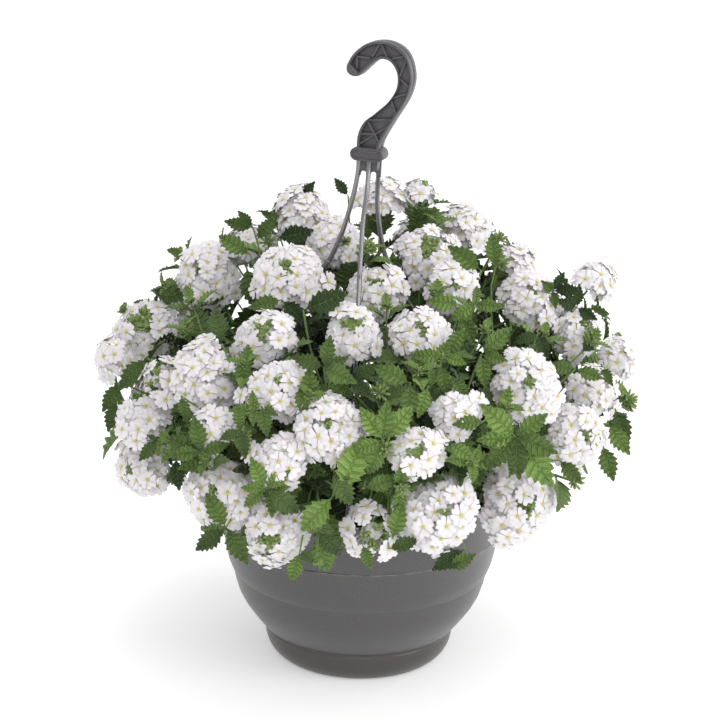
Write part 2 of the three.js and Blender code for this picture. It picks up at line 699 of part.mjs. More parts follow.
// Tries a leaf on one face of a stem, opening and swinging it until there is room for it.
function tryLeaf(stem, share, bearing, scale, leaves) {
  const { point: base, along, face } = onStem(stem.curve, share);
  const [length, width] = [LEAF_LENGTH * scale, LEAF_WIDTH * scale];
  for (const swing of [0, 20, -20]) {
    for (const open of [55, 72, 40, 88, 28]) {
      const out = face.clone().applyAxisAngle(along, radians(bearing + swing));
      const midrib = along.clone().multiplyScalar(Math.cos(radians(open)))
        .addScaledVector(out, Math.sin(radians(open)));
      const frame = leafFrame(base, midrib, along.clone().addScaledVector(UP, 0.4));
      const probes = LEAF_PROBES.map(([reach, aside]) =>
        vec(reach * length, aside * width, leafArch(reach, length)).applyMatrix4(frame));
      if (hasRoom(probes, stem, leaves)) return { stem, frame, length, width, probes };
    }
  }
  return null;
}

// Opposite pairs of leaves up each stem, each pair a quarter turn from the last.
function layOutLeaves() {
  const leaves = [];
  LEAF_PAIRS.forEach((share, pair) => {
    stems.forEach((stem, index) => {
      if (pair > 0 && index % LOW_PAIR_EVERY > 0) return;
      for (const side of [0, 180]) {
        const bearing = (index + pair) * 90 + side;
        const scale = 0.9 + 0.3 * draw(index * 3 + pair + 7);
        const leaf = tryLeaf(stem, share, bearing, scale, leaves);
        if (leaf) leaves.push(leaf);
      }
    });
  });
  return leaves;
}
const leaves = layOutLeaves();

// A tight cluster of pointed green buds.
function budCluster({ middle, radius, axis }) {
  const points = 8;
  const spokes = [];
  for (let i = 0; i < points; i += 1) {
    const angle = Math.acos(1 - ((i + 0.5) / points) * 1.5);
    spokes.push({ way: spokeWay(angle, i * GOLDEN_TURN), reach: radius });
    spokes.push({ way: spokeWay(angle + 0.35, i * GOLDEN_TURN + 0.5), reach: radius * 0.62 });
  }
  spokes.push({ way: vec(0, 0, -1), reach: radius * 0.4 });
  const geometry = burr(spokes);
  geometry.applyQuaternion(new THREE.Quaternion().setFromUnitVectors(UP, axis));
  return geometry.translate(middle.x, middle.y, middle.z);
}

// One young plant: a short trunk in its hole, its stems, their leaves and bud clusters.
function leafyPlant(plant) {
  const trunk = post(TRUNK_RADIUS, trunkFoot, trunkFork + TRUNK_HEIGHT, 8, trunkPlaces[plant]);
  const ownStems = stems.filter((stem) => stem.plant === plant);
  const ownLeaves = leaves.filter((leaf) => leaf.stem.plant === plant);
  return toGeometry(fuse([
    toSolid(trunk),
    ...ownStems.map(({ curve }) => toSolid(swept(curve, stemSection, STEM_STEPS))),
    ...ownLeaves.map(({ frame, length, width }) =>
      toSolid(leafBlade(length, width).applyMatrix4(frame))),
    ...ownStems.filter(({ top }) => buds.includes(top)).map(({ top }) => toSolid(budCluster(top))),
  ]));
}

// ---------------------------------------------------------------- the whole

const group = new THREE.Group();
group.name = 'verbena_hanging_bowl';
group.add(named('drip_saucer', dripSaucer(), SAUCER_GREY, 0.55));
group.add(named('bowl', bowl(), BOWL_GREY, 0.5));
group.add(named('soil', soil(), PEAT, 1));
group.add(named('hanger', hanger(), HOOK_GREY, 0.45));
plantBearings.forEach((_, plant) => {
  group.add(named(`leafy_plant_${plant + 1}`, leafyPlant(plant), LEAF_GREENS[plant], 0.6));
});
heads.forEach((head, index) => group.add(headMesh(head, index)));

export default group;
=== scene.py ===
"""White verbena in a grey hanging bowl: the finished looks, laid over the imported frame.

Sizes are in metres unless a name says otherwise. +Z is up and the front faces -Y.
"""
from collections import namedtuple
from contextlib import contextmanager
from math import atan2, cos, floor, pi, radians, sin, sqrt, tau

import bmesh
import bpy
import numpy as np
from bpy.props import FloatProperty, FloatVectorProperty, IntProperty, PointerProperty
from mathutils import Matrix, Quaternion, Vector


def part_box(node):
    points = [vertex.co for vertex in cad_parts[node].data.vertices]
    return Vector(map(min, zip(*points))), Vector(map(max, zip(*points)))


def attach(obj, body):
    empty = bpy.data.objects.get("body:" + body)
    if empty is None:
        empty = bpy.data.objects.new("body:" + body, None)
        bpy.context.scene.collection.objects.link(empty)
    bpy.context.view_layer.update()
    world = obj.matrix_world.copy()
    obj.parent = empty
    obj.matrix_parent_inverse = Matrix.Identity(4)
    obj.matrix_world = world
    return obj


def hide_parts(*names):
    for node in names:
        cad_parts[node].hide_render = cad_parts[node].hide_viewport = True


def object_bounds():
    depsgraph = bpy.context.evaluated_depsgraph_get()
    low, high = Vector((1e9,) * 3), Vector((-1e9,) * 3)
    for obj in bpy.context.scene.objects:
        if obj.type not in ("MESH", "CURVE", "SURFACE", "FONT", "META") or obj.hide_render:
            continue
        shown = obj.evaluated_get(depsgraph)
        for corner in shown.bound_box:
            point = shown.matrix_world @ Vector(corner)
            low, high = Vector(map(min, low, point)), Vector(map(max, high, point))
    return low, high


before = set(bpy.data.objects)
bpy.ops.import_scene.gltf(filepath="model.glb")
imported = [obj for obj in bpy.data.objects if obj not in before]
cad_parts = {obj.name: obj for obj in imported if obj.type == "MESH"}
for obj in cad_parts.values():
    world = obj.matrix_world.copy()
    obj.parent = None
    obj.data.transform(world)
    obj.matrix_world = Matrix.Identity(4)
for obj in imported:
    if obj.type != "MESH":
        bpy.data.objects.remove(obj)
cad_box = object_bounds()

bl_info = {
    "name": "Hanging verbena",
    "version": (1, 0, 0),
    "blender": (4, 5, 0),
    "location": "View3D > Sidebar > Verbena",
    "description": "Models a white verbena in a moulded hanging bowl",
    "category": "Add Mesh",
}

# ------------------------------------------------------------------ shared sizes

MM = 0.001
UP = Vector((0, 0, 1))
GOLDEN_TURN = pi * (3 - sqrt(5))

saucer_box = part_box("drip_saucer")
bowl_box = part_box("bowl")
hanger_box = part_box("hanger")

GAP = 0.3 * MM                      # left between pieces that touch
SAUCER_LIP = 32 * MM                # height of the saucer's lip
SAUCER_FLOOR = 3 * MM
DRAIN_RING = 58 * MM
DRAIN_HOLES = 6
DRAIN_RADIUS = 4.2 * MM
PEG_RADIUS = 3.2 * MM
BOWL_UNDERSIDE = SAUCER_LIP + GAP
BOWL_FLOOR = BOWL_UNDERSIDE + 2.5 * MM
RIM_HEIGHT = bowl_box[1].z
LIP_UNDERSIDE = RIM_HEIGHT - 4 * MM
BOWL_RADIUS = 142.6 * MM
# Height of the bowl's ring, where a thin pale line is painted on as a painted highlight
RING_HIGHLIGHT_HEIGHT = 137 * MM
LUG_REACH = 152 * MM
CLIP_RING = 147.5 * MM
SOIL_EDGE = 166 * MM
SOIL_TOP = 176 * MM
SOIL_RADIUS = 138 * MM

COLLAR_TOP = 525 * MM
COLLAR_HEIGHT = 13 * MM
COLLAR_WIDTH = 34 * MM
COLLAR_DEPTH = 17 * MM
HOOK_DEPTH = 15 * MM
HOOK_WEB = 4.5 * MM
HOOK_RIB = 12.4 * MM
FLANGE = 2.4 * MM
HOOK_TURN = radians(-21)
ARM_BEARINGS = (-5, 115, -125)      # degrees from the front

# The crown of the plant, as in the part's source.
CROWN_RADIUS = 262 * MM
CROWN_MIDDLE = 275 * MM
CROWN_FRONT_TOP = 135 * MM
CROWN_BACK_TOP = 190 * MM
CROWN_SKIRT = 105 * MM
CROWN_RISE = (-40 * MM, 110 * MM)   # where its top climbs from the front height to the back's
HEAD_SUNK = 0.42                    # how far heads are drawn in from the crown, in widths
HEAD_BASE = 0.6                     # where a head's stem ends below its middle, in radii
HEAD_LIFT = 0.3                     # how far heads turn upwards from straight out
BACK_WIDTHS = (0.92, 1.08)
TRUNK_RING = 66 * MM
TRUNK_RADIUS = 6 * MM
TRUNK_HEIGHT = 46 * MM
TRUNK_TAPER = 0.35                  # share of its radius that it loses on the way up
TRUNK_SIDES, TRUNK_RINGS = 14, 9
TRUNK_WAVE = 0.12                   # how far it is from round
ROOT_DEPTH = 16 * MM
FORK_RISE = 4 * MM                  # of the lowest stems over the compost
STEM_RADIUS = 1.4 * MM
STEM_RUNS = 3                       # straight runs of a stem in the solids
STEM_BOW = 0.33                     # how far a stem goes on its way out, as a share of its span
STEM_PROBES = [i / 24 for i in range(3, 25)]    # where leaves keep clear of a stem
LEAF_SCALES = (0.9, 1.2)            # least and greatest, of the leaves in the solids

EYE = Vector((0, -2.060, 0.960))
AIM = Vector((0, 0, 0.306))
AHEAD = (AIM - EYE).normalized()
ACROSS = Vector((1, 0, 0))
UPWARD = ACROSS.cross(AHEAD)

# Flower heads as seen from the front, in millimetres on the plane through AIM: right, up,
# width seen, and how much nearer to the eye than the crown they stand.
FRONT_HEADS = (
    (-67, 149, 58), (-31, 119, 50), (13, 165, 48), (53, 171, 32), (98, 137, 54),
    (149, 105, 42), (59, 111, 54),
    (-158, 84, 64), (-77, 84, 68, 28), (10, 70, 58, -18), (87, 74, 54), (165, 67, 58),
    (229, 88, 46), (212, 36, 48),
    (-252, -1, 42), (-217, 30, 58), (-101, 23, 54), (-13, 30, 54), (55, 29, 56), (255, 12, 42),
    (-205, -22, 38), (-158, -19, 68), (-83, -29, 62), (93, -48, 48), (162, -21, 70),
    (228, -22, 46),
    (-223, -64, 48), (-150, -70, 40), (-32, -66, 68), (53, -88, 48), (213, -68, 58),
    (-219, -107, 56), (-139, -133, 68), (-84, -101, 54), (-86, -172, 62), (10, -168, 55),
    (74, -148, 78), (155, -137, 75),
)
# Heads whose middle florets are still in bud, and the height in radii above which they are.
GREEN_CENTRES = {4: 0.8, 7: 0.85, 8: 0.97, 9: 0.94, 10: 0.93, 14: 0.9, 16: 0.8, 17: 0.82,
                 18: 0.84, 19: 0.92, 21: 0.5, 23: 0.96, 25: 0.96, 30: 0.9, 33: 0.94, 35: 0.9,
                 36: 0.75, 38: 0.95}
OPEN_HEADS = (15, 21, 28, 36)            # young heads with few florets, standing apart
SKYLINE_HEADS = (1, 3, 4, 5, 6, 13)      # heads at the crown's edge, which face upwards

# Rings of heads round the back: height, first and last bearing, count, width.
BACK_RINGS = ((236, 112, 248, 6, 66), (318, 125, 232, 4, 68), (392, 160, 228, 3, 62))

# Shoots that end in green buds, laid out as the heads are. The first ones are in the solids.
BUD_WIDTH = 22
SPRAY_SUNK = 4                       # how wide a spray's end counts when it is laid out
SPRAY_INSIDE = 8 * MM                # how far within the solids' box a spray ends
FRONT_BUDS = ((-249, -62), (-100, 121), (133, 129), (-121, -77), (22, -86), (-132, -171),
              (214, -114), (268, -31), (-44, -200), (15, -27))
SIDE_SHOOTS = (
    (-240, 47), (-200, 72), (-188, 103), (-181, 29), (-190, -86), (-157, -101), (-120, -4),
    (-94, 146), (-55, -33), (-109, -48), (55, -6), (76, 7), (119, 36), (110, 63), (71, 73),
    (-23, 121), (21, 57), (51, 169), (70, 140), (134, 103), (178, 33), (227, 25), (250, 30),
    (230, 57), (143, -41), (152, -87), (-89, -127), (252, -59), (40, -128),
    (110, -96), (-175, 58),
)
# Leaves spread at the front of the crown: where a shoot bears them, as seen from the front, and
# for each leaf the way it points there in degrees from right, its length and its age.
FRONT_SPRAYS = (
    (114, 95, (145, 41, 0.55)), (128, 98, (97, 35, 0.6)), (94, 60, (174, 33, 0.9)),
    (108, 61, (-144, 29, 0.95), (-4, 28, 0.9)), (96, 51, (-67, 32, 0.75)),
    (98, 37, (-120, 32, 0.8)), (78, 9, (-178, 29, 0.85), (-18, 23, 0.85)),
    (116, 11, (44, 37, 0.5), (-12, 25, 0.5), (-81, 32, 0.6)), (76, 0, (-75, 30, 0.75)),
    (86, -12, (-47, 26, 0.4)), (46, -19, (156, 38, 0.45), (-92, 35, 0.5)),
    (64, -22, (-107, 30, 0.8)), (172, 33, (-160, 25, 0.35), (-66, 26, 0.45)),
    (210, -1, (176, 29, 0.6), (-18, 28, 0.7)), (236, 0, (-56, 24, 0.5)),
    (250, -39, (-69, 39, 0.35)), (244, -55, (-54, 36, 0.8)), (239, -76, (-72, 36, 0.35)),
    (152, -70, (138, 44, 0.85), (-173, 36, 0.8), (-132, 41, 0.6), (37, 36, 0.7), (-52, 58, 0.8),
     (-20, 41, 0.7), (-84, 39, 0.55)), (196, -92, (-45, 30, 0.35)),
    (20, -77, (126, 36, 0.85), (85, 36, 0.85), (50, 41, 0.85), (-158, 29, 0.7), (-112, 37, 0.8),
     (-16, 31, 0.85)), (38, -87, (-57, 35, 0.85)), (86, -77, (-34, 28, 1)),
    (120, -55, (-172, 29, 0.7)), (-20, -134, (70, 54, 0.85)), (-28, -138, (-131, 48, 0.7)),
    (2, -131, (19, 33, 0.6)), (-30, -112, (-60, 40, 0.2)),
    (-14, -15, (25, 30, 0.3), (-40, 28, 0.2)), (-44, -172, (-42, 33, 0.1)),
    (-60, -189, (-105, 32, 0.6), (-34, 19, 0.5)),
    (-134, -167, (-142, 36, 0.2), (-58, 39, 0.3), (121, 37, 0.7)),
    (-96, -127, (117, 31, 0.8), (180, 22, 0.8), (-138, 26, 0.8), (-35, 41, 0.6), (37, 28, 0.7)),
    (2, -183, (-70, 25, 0.6)), (28, -185, (19, 29, 0.5)), (32, -177, (76, 35, 0.7)),
    (104, -183, (-146, 36, 0.05)), (88, -203, (30, 29, 0.5)), (-64, 167, (50, 25, 0.35)),
    (-20, 166, (129, 23, 0.3)), (-114, 132, (168, 30, 0.55), (133, 23, 0.5)),
    (-110, 120, (54, 30, 0.6)), (-116, 105, (150, 38, 0.6)), (-90, 122, (14, 38, 0.3)),
    (-120, 93, (-76, 44, 0.15)), (-174, 18, (93, 45, 0.5)), (-142, 15, (103, 39, 0.5)),
    (-62, 51, (23, 46, 0.25)), (-84, 61, (-165, 33, 0.45), (-43, 36, 0.1)),
    (-40, -5, (80, 30, 0.6), (164, 31, 0.55), (-25, 40, 0.45), (23, 24, 0.5), (-47, 38, 0.5)),
    (-122, 3, (-85, 35, 0.6)), (-62, -22, (-86, 29, 0.7)), (-216, 0, (-131, 41, 0.4)),
    (-242, -25, (-121, 33, 0.25)), (-214, 68, (-11, 40, 0.55)),
    (-160, -92, (104, 34, 0.45), (18, 27, 0.6), (-172, 30, 0.6), (159, 36, 0.45)),
    (-122, -69, (98, 24, 0.55), (-153, 21, 0.5), (-79, 27, 0.5)),
    (-204, -81, (-130, 26, 0.5), (158, 11, 0.5)), (-186, -99, (-82, 30, 0.1)),
    (186, 76, (140, 24, 0.4), (60, 22, 0.35), (5, 27, 0.3), (-80, 22, 0.3)),
    (210, 60, (160, 28, 0.3), (85, 24, 0.35), (-30, 24, 0.3)), (-246, -43, (-104, 31, 0.3)),
    (-182, -37, (-75, 24, 0.7)), (-102, -45, (-77, 29, 0.35)),
)
# Rings of shoots round the back: height, first and last bearing, count.
BACK_SHOOTS = ((200, 100, 260, 8), (280, 105, 255, 10), (340, 100, 262, 10), (395, 120, 240, 7),
               (425, 130, 240, 4))

# ------------------------------------------------------------------ colours


def linear(code):
    """An sRGB hex colour as linear red, green, blue and alpha."""
    shares = [int(code[i:i + 2], 16) / 255 for i in (1, 3, 5)]
    return [s / 12.92 if s <= 0.04045 else ((s + 0.055) / 1.055) ** 2.4 for s in shares] + [1.0]


def colour_property(name, description, code):
    return FloatVectorProperty(name=name, description=description, subtype="COLOR", size=4,
                               min=0, max=1, default=linear(code))


def length_property(name, description, length, least):
    """A length that is given in millimetres and kept in metres."""
    return FloatProperty(name=name, description=description, default=length * MM,
                         min=least * MM, subtype="DISTANCE", unit="LENGTH")


# ------------------------------------------------------------------ settings


class VerbenaBowlSettings(bpy.types.PropertyGroup):
    bowl_colour: colour_property("Bowl", "Pigment of the bowl's plastic", "#3f3d3d")
    saucer_colour: colour_property("Saucer", "Pigment of the saucer's plastic", "#35302f")
    soil_colour: colour_property("Compost", "Colour of damp compost", "#2a1e16")
    sides: IntProperty(name="Sides", description="Facets round the bowl", default=112, min=24)
    grain: length_property("Grain", "Spacing of the moulded grain", 0.9, 0.1)


class VerbenaHangerSettings(bpy.types.PropertyGroup):
    colour: colour_property("Hanger", "Pigment of the hanger's plastic", "#535154")
    arm_radius: length_property("Arm radius", "Radius of the three arms", 2.4, 1)
    edge: length_property("Edge", "Rounding of the moulded edges", 0.5, 0.1)
    grain: length_property("Grain", "Spacing of the moulded grain", 0.9, 0.1)


class VerbenaPlantSettings(bpy.types.PropertyGroup):
    petal_colour: colour_property("Petals", "Colour of open petals", "#e5e1e4")
    eye_colour: colour_property("Eyes", "Throat of each floret", "#c3bc62")
    bud_colour: colour_property("Buds", "Closed green buds and calyces", "#7a9049")
    tube_colour: colour_property("Tubes", "Tubes that carry the florets", "#e9e9e2")
    young_leaf: colour_property("Young leaves", "Leaves near the shoot tips", "#7d9d4a")
    # Near-black green for the deepest leaves: partly the darker colour of older leaves, partly
    # painted shade
    old_shaded_leaf: colour_property("Old leaves", "Leaves deep in the plant", "#1b3311")
    stem_colour: colour_property("Stems", "Young square stems", "#6c8a42")
    bark_colour: colour_property("Trunks", "Woody bases of the plants", "#6d5a3c")
    floret_width: length_property("Floret width", "Across one open floret", 20.5, 5)
    leaf_length: length_property("Leaf length", "Of a full-grown leaf", 50, 10)
    leaf_width: length_property("Leaf width", "Of a full-grown leaf", 30, 5)


class VerbenaStageSettings(bpy.types.PropertyGroup):
    floor_colour: colour_property("Floor", "Pale paper sweep", "#f4f4f4")
    key_power: FloatProperty(name="Key light", description="Power of the large front light",
                             default=27, min=0, subtype="POWER", unit="POWER")
    sky: FloatProperty(name="Room light", description="Even light from all round", default=0.79,
                       min=0)


class VerbenaSettings(bpy.types.PropertyGroup):
    bowl: PointerProperty(type=VerbenaBowlSettings, name="Bowl", description="Bowl and saucer")
    hanger: PointerProperty(type=VerbenaHangerSettings, name="Hanger", description="Hanger")
    plant: PointerProperty(type=VerbenaPlantSettings, name="Plant", description="The plants")
    stage: PointerProperty(type=VerbenaStageSettings, name="Stage", description="Lights, floor")


# ------------------------------------------------------------------ small helpers


def draw(seed, low=0, high=1):
    """A repeatable draw between two values."""
    wave = sin(seed * 12.9898) * 43758.5453
    return low + (high - low) * (wave - floor(wave))


def spread_draw(seed, reach):
    """A repeatable draw between minus and plus reach."""
    return draw(seed, -reach, reach)


def in_mm(*points):
    """Points that are given in millimetres, as vectors in metres."""
    return [Vector(point) * MM for point in points]


def bearing_point(radius, bearing, height):
    """A point at a radius and a height, its bearing in degrees from the front."""
    turn = radians(bearing)
    return Vector((radius * sin(turn), -radius * cos(turn), height))


def clear_selection():
    if bpy.context.object and bpy.context.object.mode != "OBJECT":
        bpy.ops.object.mode_set(mode="OBJECT")
    bpy.ops.object.select_all(action="DESELECT")


def pick(*pieces):
    """Selects these pieces and nothing else, the first one active."""
    clear_selection()
    for piece in pieces:
        piece.select_set(True)
    bpy.context.view_layer.objects.active = pieces[0]
    return pieces[0]


def settle(piece, frame_matrix=None):
    """Puts a piece's place, turn and size into its mesh, and its object at the origin."""
    matrix = piece.matrix_basis.copy()
    if frame_matrix is not None:
        matrix = frame_matrix @ matrix
    piece.data.transform(matrix)
    piece.matrix_basis = Matrix.Identity(4)
    piece.data.update()
    return piece


def join(pieces, name):
    if len(pieces) > 1:
        pick(*pieces)
        bpy.ops.object.join()
    piece = pieces[0]
    piece.name = name
    piece.data.name = name
    return piece


def copied(template, frames, variations=None):
    """Copies of one modelled shape, each with its own mesh, set out by their frames."""
    copies = []
    for index, place in enumerate(frames):
        mesh = template.data.copy()
        mesh.transform(place)
        if variations is not None:
            tint = mesh.attributes.new("variation", "FLOAT", "POINT")
            tint.data.foreach_set("value", [variations[index]] * len(mesh.vertices))
        copy = bpy.data.objects.new(template.name, mesh)
        bpy.context.collection.objects.link(copy)
        copies.append(copy)
    return copies


def discard(*templates):
    for template in templates:
        mesh = template.data
        bpy.data.objects.remove(template)
        bpy.data.meshes.remove(mesh)


@contextmanager
def editing(piece):
    """Edit mode on one piece, at first with all of it selected."""
    pick(piece)
    bpy.ops.object.mode_set(mode="EDIT")
    bpy.ops.mesh.select_all(action="SELECT")
    yield
    bpy.ops.object.mode_set(mode="OBJECT")


def select_only(piece, kind, test):
    """In edit mode, selects the faces or edges that pass a test, and no others."""
    bpy.ops.mesh.select_mode(type=kind)
    bpy.ops.mesh.select_all(action="DESELECT")
    mesh = bmesh.from_edit_mesh(piece.data)
    for part in {"FACE": mesh.faces, "EDGE": mesh.edges}[kind]:
        part.select_set(bool(test(part)))
    bmesh.update_edit_mesh(piece.data)


def draw_out(distance):
    """In edit mode, extrudes what is selected along Z."""
    bpy.ops.mesh.extrude_region_move(TRANSFORM_OT_translate={"value": (0, 0, distance)})


def coat(piece, material):
    """Gives a piece its one material."""
    piece.data.materials.clear()
    piece.data.materials.append(material)
    return piece


def smoothed(piece):
    pick(piece)
    bpy.ops.object.shade_smooth()
    return piece


def finish_edges(piece, width, segments=2, angle=30, smooth=35):
    """Rounds the sharp edges and shades the rest smooth."""
    pick(piece)
    bevel = piece.modifiers.new("Bevel", "BEVEL")
    bevel.width = width
    bevel.segments = segments
    bevel.limit_method = "ANGLE"
    bevel.angle_limit = radians(angle)
    bevel.use_clamp_overlap = True
    bpy.ops.object.modifier_apply(modifier=bevel.name)
    bpy.ops.object.shade_smooth_by_angle(angle=radians(smooth))
    return piece


def turned(name, profile, sides):
    """A round closed body: a disc at the first radius and height, drawn up ring by ring."""
    clear_selection()
    radius, height = profile[0]
    bpy.ops.mesh.primitive_circle_add(vertices=sides, radius=radius, fill_type="NGON",
                                      location=(0, 0, height))
    piece = settle(bpy.context.object)
    piece.name = name
    with editing(piece):
        for next_radius, next_height in profile[1:]:
            draw_out(next_height - height)
            scale = next_radius / radius
            bpy.ops.transform.resize(value=(scale, scale, 1), center_override=(0, 0, next_height))
            radius, height = next_radius, next_height
        bpy.ops.mesh.select_all(action="SELECT")
        bpy.ops.mesh.normals_make_consistent(inside=False)
    return piece


def from_curve(name, routes, taper=None, **settings):
    """A mesh made of a curve that runs straight from point to point along each route."""
    clear_selection()
    curve = bpy.data.curves.new(name, "CURVE")
    for key, value in settings.items():
        setattr(curve, key, value)
    for route in routes:
        spline = curve.splines.new("POLY")
        spline.points.add(len(route) - 1)
        spline.use_cyclic_u = curve.dimensions == "2D"
        for index, (point, place) in enumerate(zip(spline.points, route)):
            point.co = (*place, 1)
            if taper:
                point.radius = taper(index / (len(route) - 1))
    piece = bpy.data.objects.new(name, curve)
    bpy.context.collection.objects.link(piece)
    pick(piece)
    bpy.ops.object.convert(target="MESH")
    return bpy.context.object


def plate(name, outlines, depth):
    """A flat outline, with its holes, given thickness to both sides of the XY plane."""
    piece = from_curve(name, [[(x, y, 0) for x, y in outline] for outline in outlines],
                       dimensions="2D", fill_mode="BOTH", extrude=depth / 2)
    with editing(piece):
        bpy.ops.mesh.remove_doubles(threshold=0.01 * MM)
        bpy.ops.mesh.dissolve_limited(angle_limit=radians(0.5))
        bpy.ops.mesh.normals_make_consistent(inside=False)
    return piece


def tube(name, routes, radius, resolution=1, taper=None):
    """Round rods along routes of points, with closed ends."""
    return from_curve(name, routes, taper, dimensions="3D", bevel_depth=radius,
                      bevel_resolution=resolution, use_fill_caps=True)


def arc(middle, radius, first, last, steps):
    """Points on an arc in the XY plane, between two angles in half turns."""
    turns = [pi * (first + (last - first) * i / steps) for i in range(steps + 1)]
    return [(middle[0] + radius * cos(turn), middle[1] + radius * sin(turn))
            for turn in turns]


def bar_outline(width, height, steps=8):
    """A bar with round ends, about the origin."""
    half = (width - height) / 2
    return (arc((half, 0), height / 2, -0.5, 0.5, steps)
            + arc((-half, 0), height / 2, 0.5, 1.5, steps))


def spline_point(points, share):
    """A point on a smooth curve through all the points."""
    place = share * (len(points) - 1)
    i = min(int(place), len(points) - 2)
    t = place - i
    before, here = points[max(i - 1, 0)], points[i]
    after, beyond = points[i + 1], points[min(i + 2, len(points) - 1)]
    slope_here = (after - before) / 2
    slope_after = (beyond - here) / 2
    return ((2 * here - 2 * after + slope_here + slope_after) * t ** 3
            + (3 * after - 3 * here - 2 * slope_here - slope_after) * t ** 2
            + slope_here * t + here)


def facing(point, way, spin, scale):
    """A frame at a point whose +Z looks along a way, turned about it and scaled."""
    turn = UP.rotation_difference(way) @ Quaternion(UP, spin)
    sizes = scale if isinstance(scale, Vector) else Vector((scale, scale, scale))
    return Matrix.LocRotScale(point, turn, sizes)


def finished(piece, body, slot, *nodes):
    """Hands a finished piece over to the frame."""
    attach(piece, body)
    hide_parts(*nodes)


# ------------------------------------------------------------------ materials


def link(tree, source, target):
    """Links an output, or the first open output of a node, to an input."""
    if isinstance(source, bpy.types.Node):
        source = next(output for output in source.outputs if output.enabled)
    tree.links.new(source, target)


def node(tree, kind, sockets=None, **settings):
    """Adds a node with its settings. A socket takes a number, a colour, an output or a node."""
    added = tree.nodes.new("ShaderNode" + kind)
    for key, value in settings.items():
        setattr(added, key, value)
    for key, value in (sockets or {}).items():
        if isinstance(value, (bpy.types.Node, bpy.types.NodeSocket)):
            link(tree, value, added.inputs[key])
        else:
            added.inputs[key].default_value = value
    return added


def new_material(name, roughness, **sockets):
    """A material with one Principled shader, its plain values set on the shader itself."""
    material = bpy.data.materials.new(name)
    material.use_nodes = True
    tree = material.node_tree
    shader = tree.nodes["Principled BSDF"]
    shader.inputs["Roughness"].default_value = roughness
    for key, value in sockets.items():
        shader.inputs[key.replace("_", " ")].default_value = value
    return material, tree, shader


def dress(tree, shader, colour, height, strength, depth):
    """Gives a shader its colour, and a relief that follows a height between 0 and 1."""
    relief = node(tree, "Bump", {"Height": height, "Strength": strength, "Distance": depth})
    link(tree, colour, shader.inputs["Base Color"])
    link(tree, relief, shader.inputs["Normal"])


def shade_of(colour, factor):
    return [min(channel * factor, 1) for channel in colour[:3]] + [1.0]


def mottled(name, colour, shades, roughness, texture, pattern, relief, stretch=(1, 1, 1),
            **sockets):
    """A surface whose shade, between two factors of its colour, and whose relief, of some
    strength and depth, both follow one texture."""
    material, tree, shader = new_material(name, roughness, **sockets)
    place = node(tree, "Mapping", {"Vector": node(tree, "TexCoord").outputs["Object"],
                                   "Scale": stretch})
    marks = node(tree, texture, {"Vector": place, **pattern})
    tint = node(tree, "Mix", {"Factor": marks, "A": shade_of(colour, shades[0]),
                              "B": shade_of(colour, shades[1])}, data_type="RGBA")
    dress(tree, shader, tint, marks, *relief)
    return material


def moulded_plastic(name, colour, grain, glossiest=0.27, dullest=0.42, refraction=1.49,
                    highlight_height=None, shine=0.8):
    """Polypropylene from a mould with a spark-eroded, faintly grained face: satin, a broad
    soft highlight, and pigment that is even but for a little flow mottle. At a height above
    the ground a thin, broken pale line is painted on it: a painted highlight where the ledge
    of a ring on the wall would catch the light."""
    material, tree, shader = new_material(name, dullest, IOR=refraction,
                                          Specular_IOR_Level=shine)
    place = node(tree, "TexCoord").outputs["Object"]
    # The real grain is about 0.2 mm; it is drawn as coarse as it needs to show.
    pits = node(tree, "TexNoise", {"Vector": place, "Scale": 1 / grain, "Detail": 2.0})
    mottle = node(tree, "MapRange", {"Value": pits, "From Min": 0.3, "From Max": 0.7})
    tint = node(tree, "Mix", {"Factor": mottle, "A": shade_of(colour, 0.7),
                              "B": shade_of(colour, 1.34)}, data_type="RGBA")
    # Painted highlight: a thin pale line at one height, broken by noise, for the light that the
    # ring's ledge catches.
    if highlight_height is not None:
        height = node(tree, "SeparateXYZ", {"Vector": place}).outputs["Z"]
        on_line = node(tree, "Math", {0: height, 1: highlight_height, 2: 0.5 * MM}, operation="COMPARE")
        highlight_breaks = node(tree, "TexNoise", {"Vector": place, "Scale": 1 / (14 * MM)})
        broken_highlight = node(tree, "MapRange", {"Value": highlight_breaks, "From Min": 0.35, "From Max": 0.6})
        pale = node(tree, "Math", {0: on_line, 1: broken_highlight}, operation="MULTIPLY")
        tint = node(tree, "Mix", {"Factor": pale, "A": tint, "B": shade_of(colour, 3.2)},
                    data_type="RGBA")
    gloss = node(tree, "MapRange", {"Value": pits, "To Min": glossiest, "To Max": dullest})
    link(tree, gloss, shader.inputs["Roughness"])
    dress(tree, shader, tint, pits, 0.16, 0.15 * MM)
    return material


def damp_compost(name, colour):
    """Peat and bark fines, damp: nearly black crumbs of 2 to 5 mm with paler fibres."""
    return mottled(name, colour, (0.45, 1.7), 0.95, "TexVoronoi", {"Scale": 1 / (4 * MM)},
                   (0.9, 2 * MM))


def green_skin(name, colour, spacing):
    """Calyx, bud and stem: light green with fine hairs, so a soft pale bloom and no gloss."""
    return mottled(name, colour, (0.6, 1.35), 0.6, "TexNoise",
                   {"Scale": 1 / spacing, "Detail": 3.0}, (0.3, 0.3 * MM), Sheen_Weight=0.25)


def bark(name, colour):
    """Young woody base: brown, with fine upright fissures about 1.5 mm apart."""
    return mottled(name, colour, (0.4, 1.3), 0.85, "TexNoise",
                   {"Scale": 1 / (1.5 * MM), "Detail": 4.0}, (0.8, 0.6 * MM), (1, 1, 0.2))


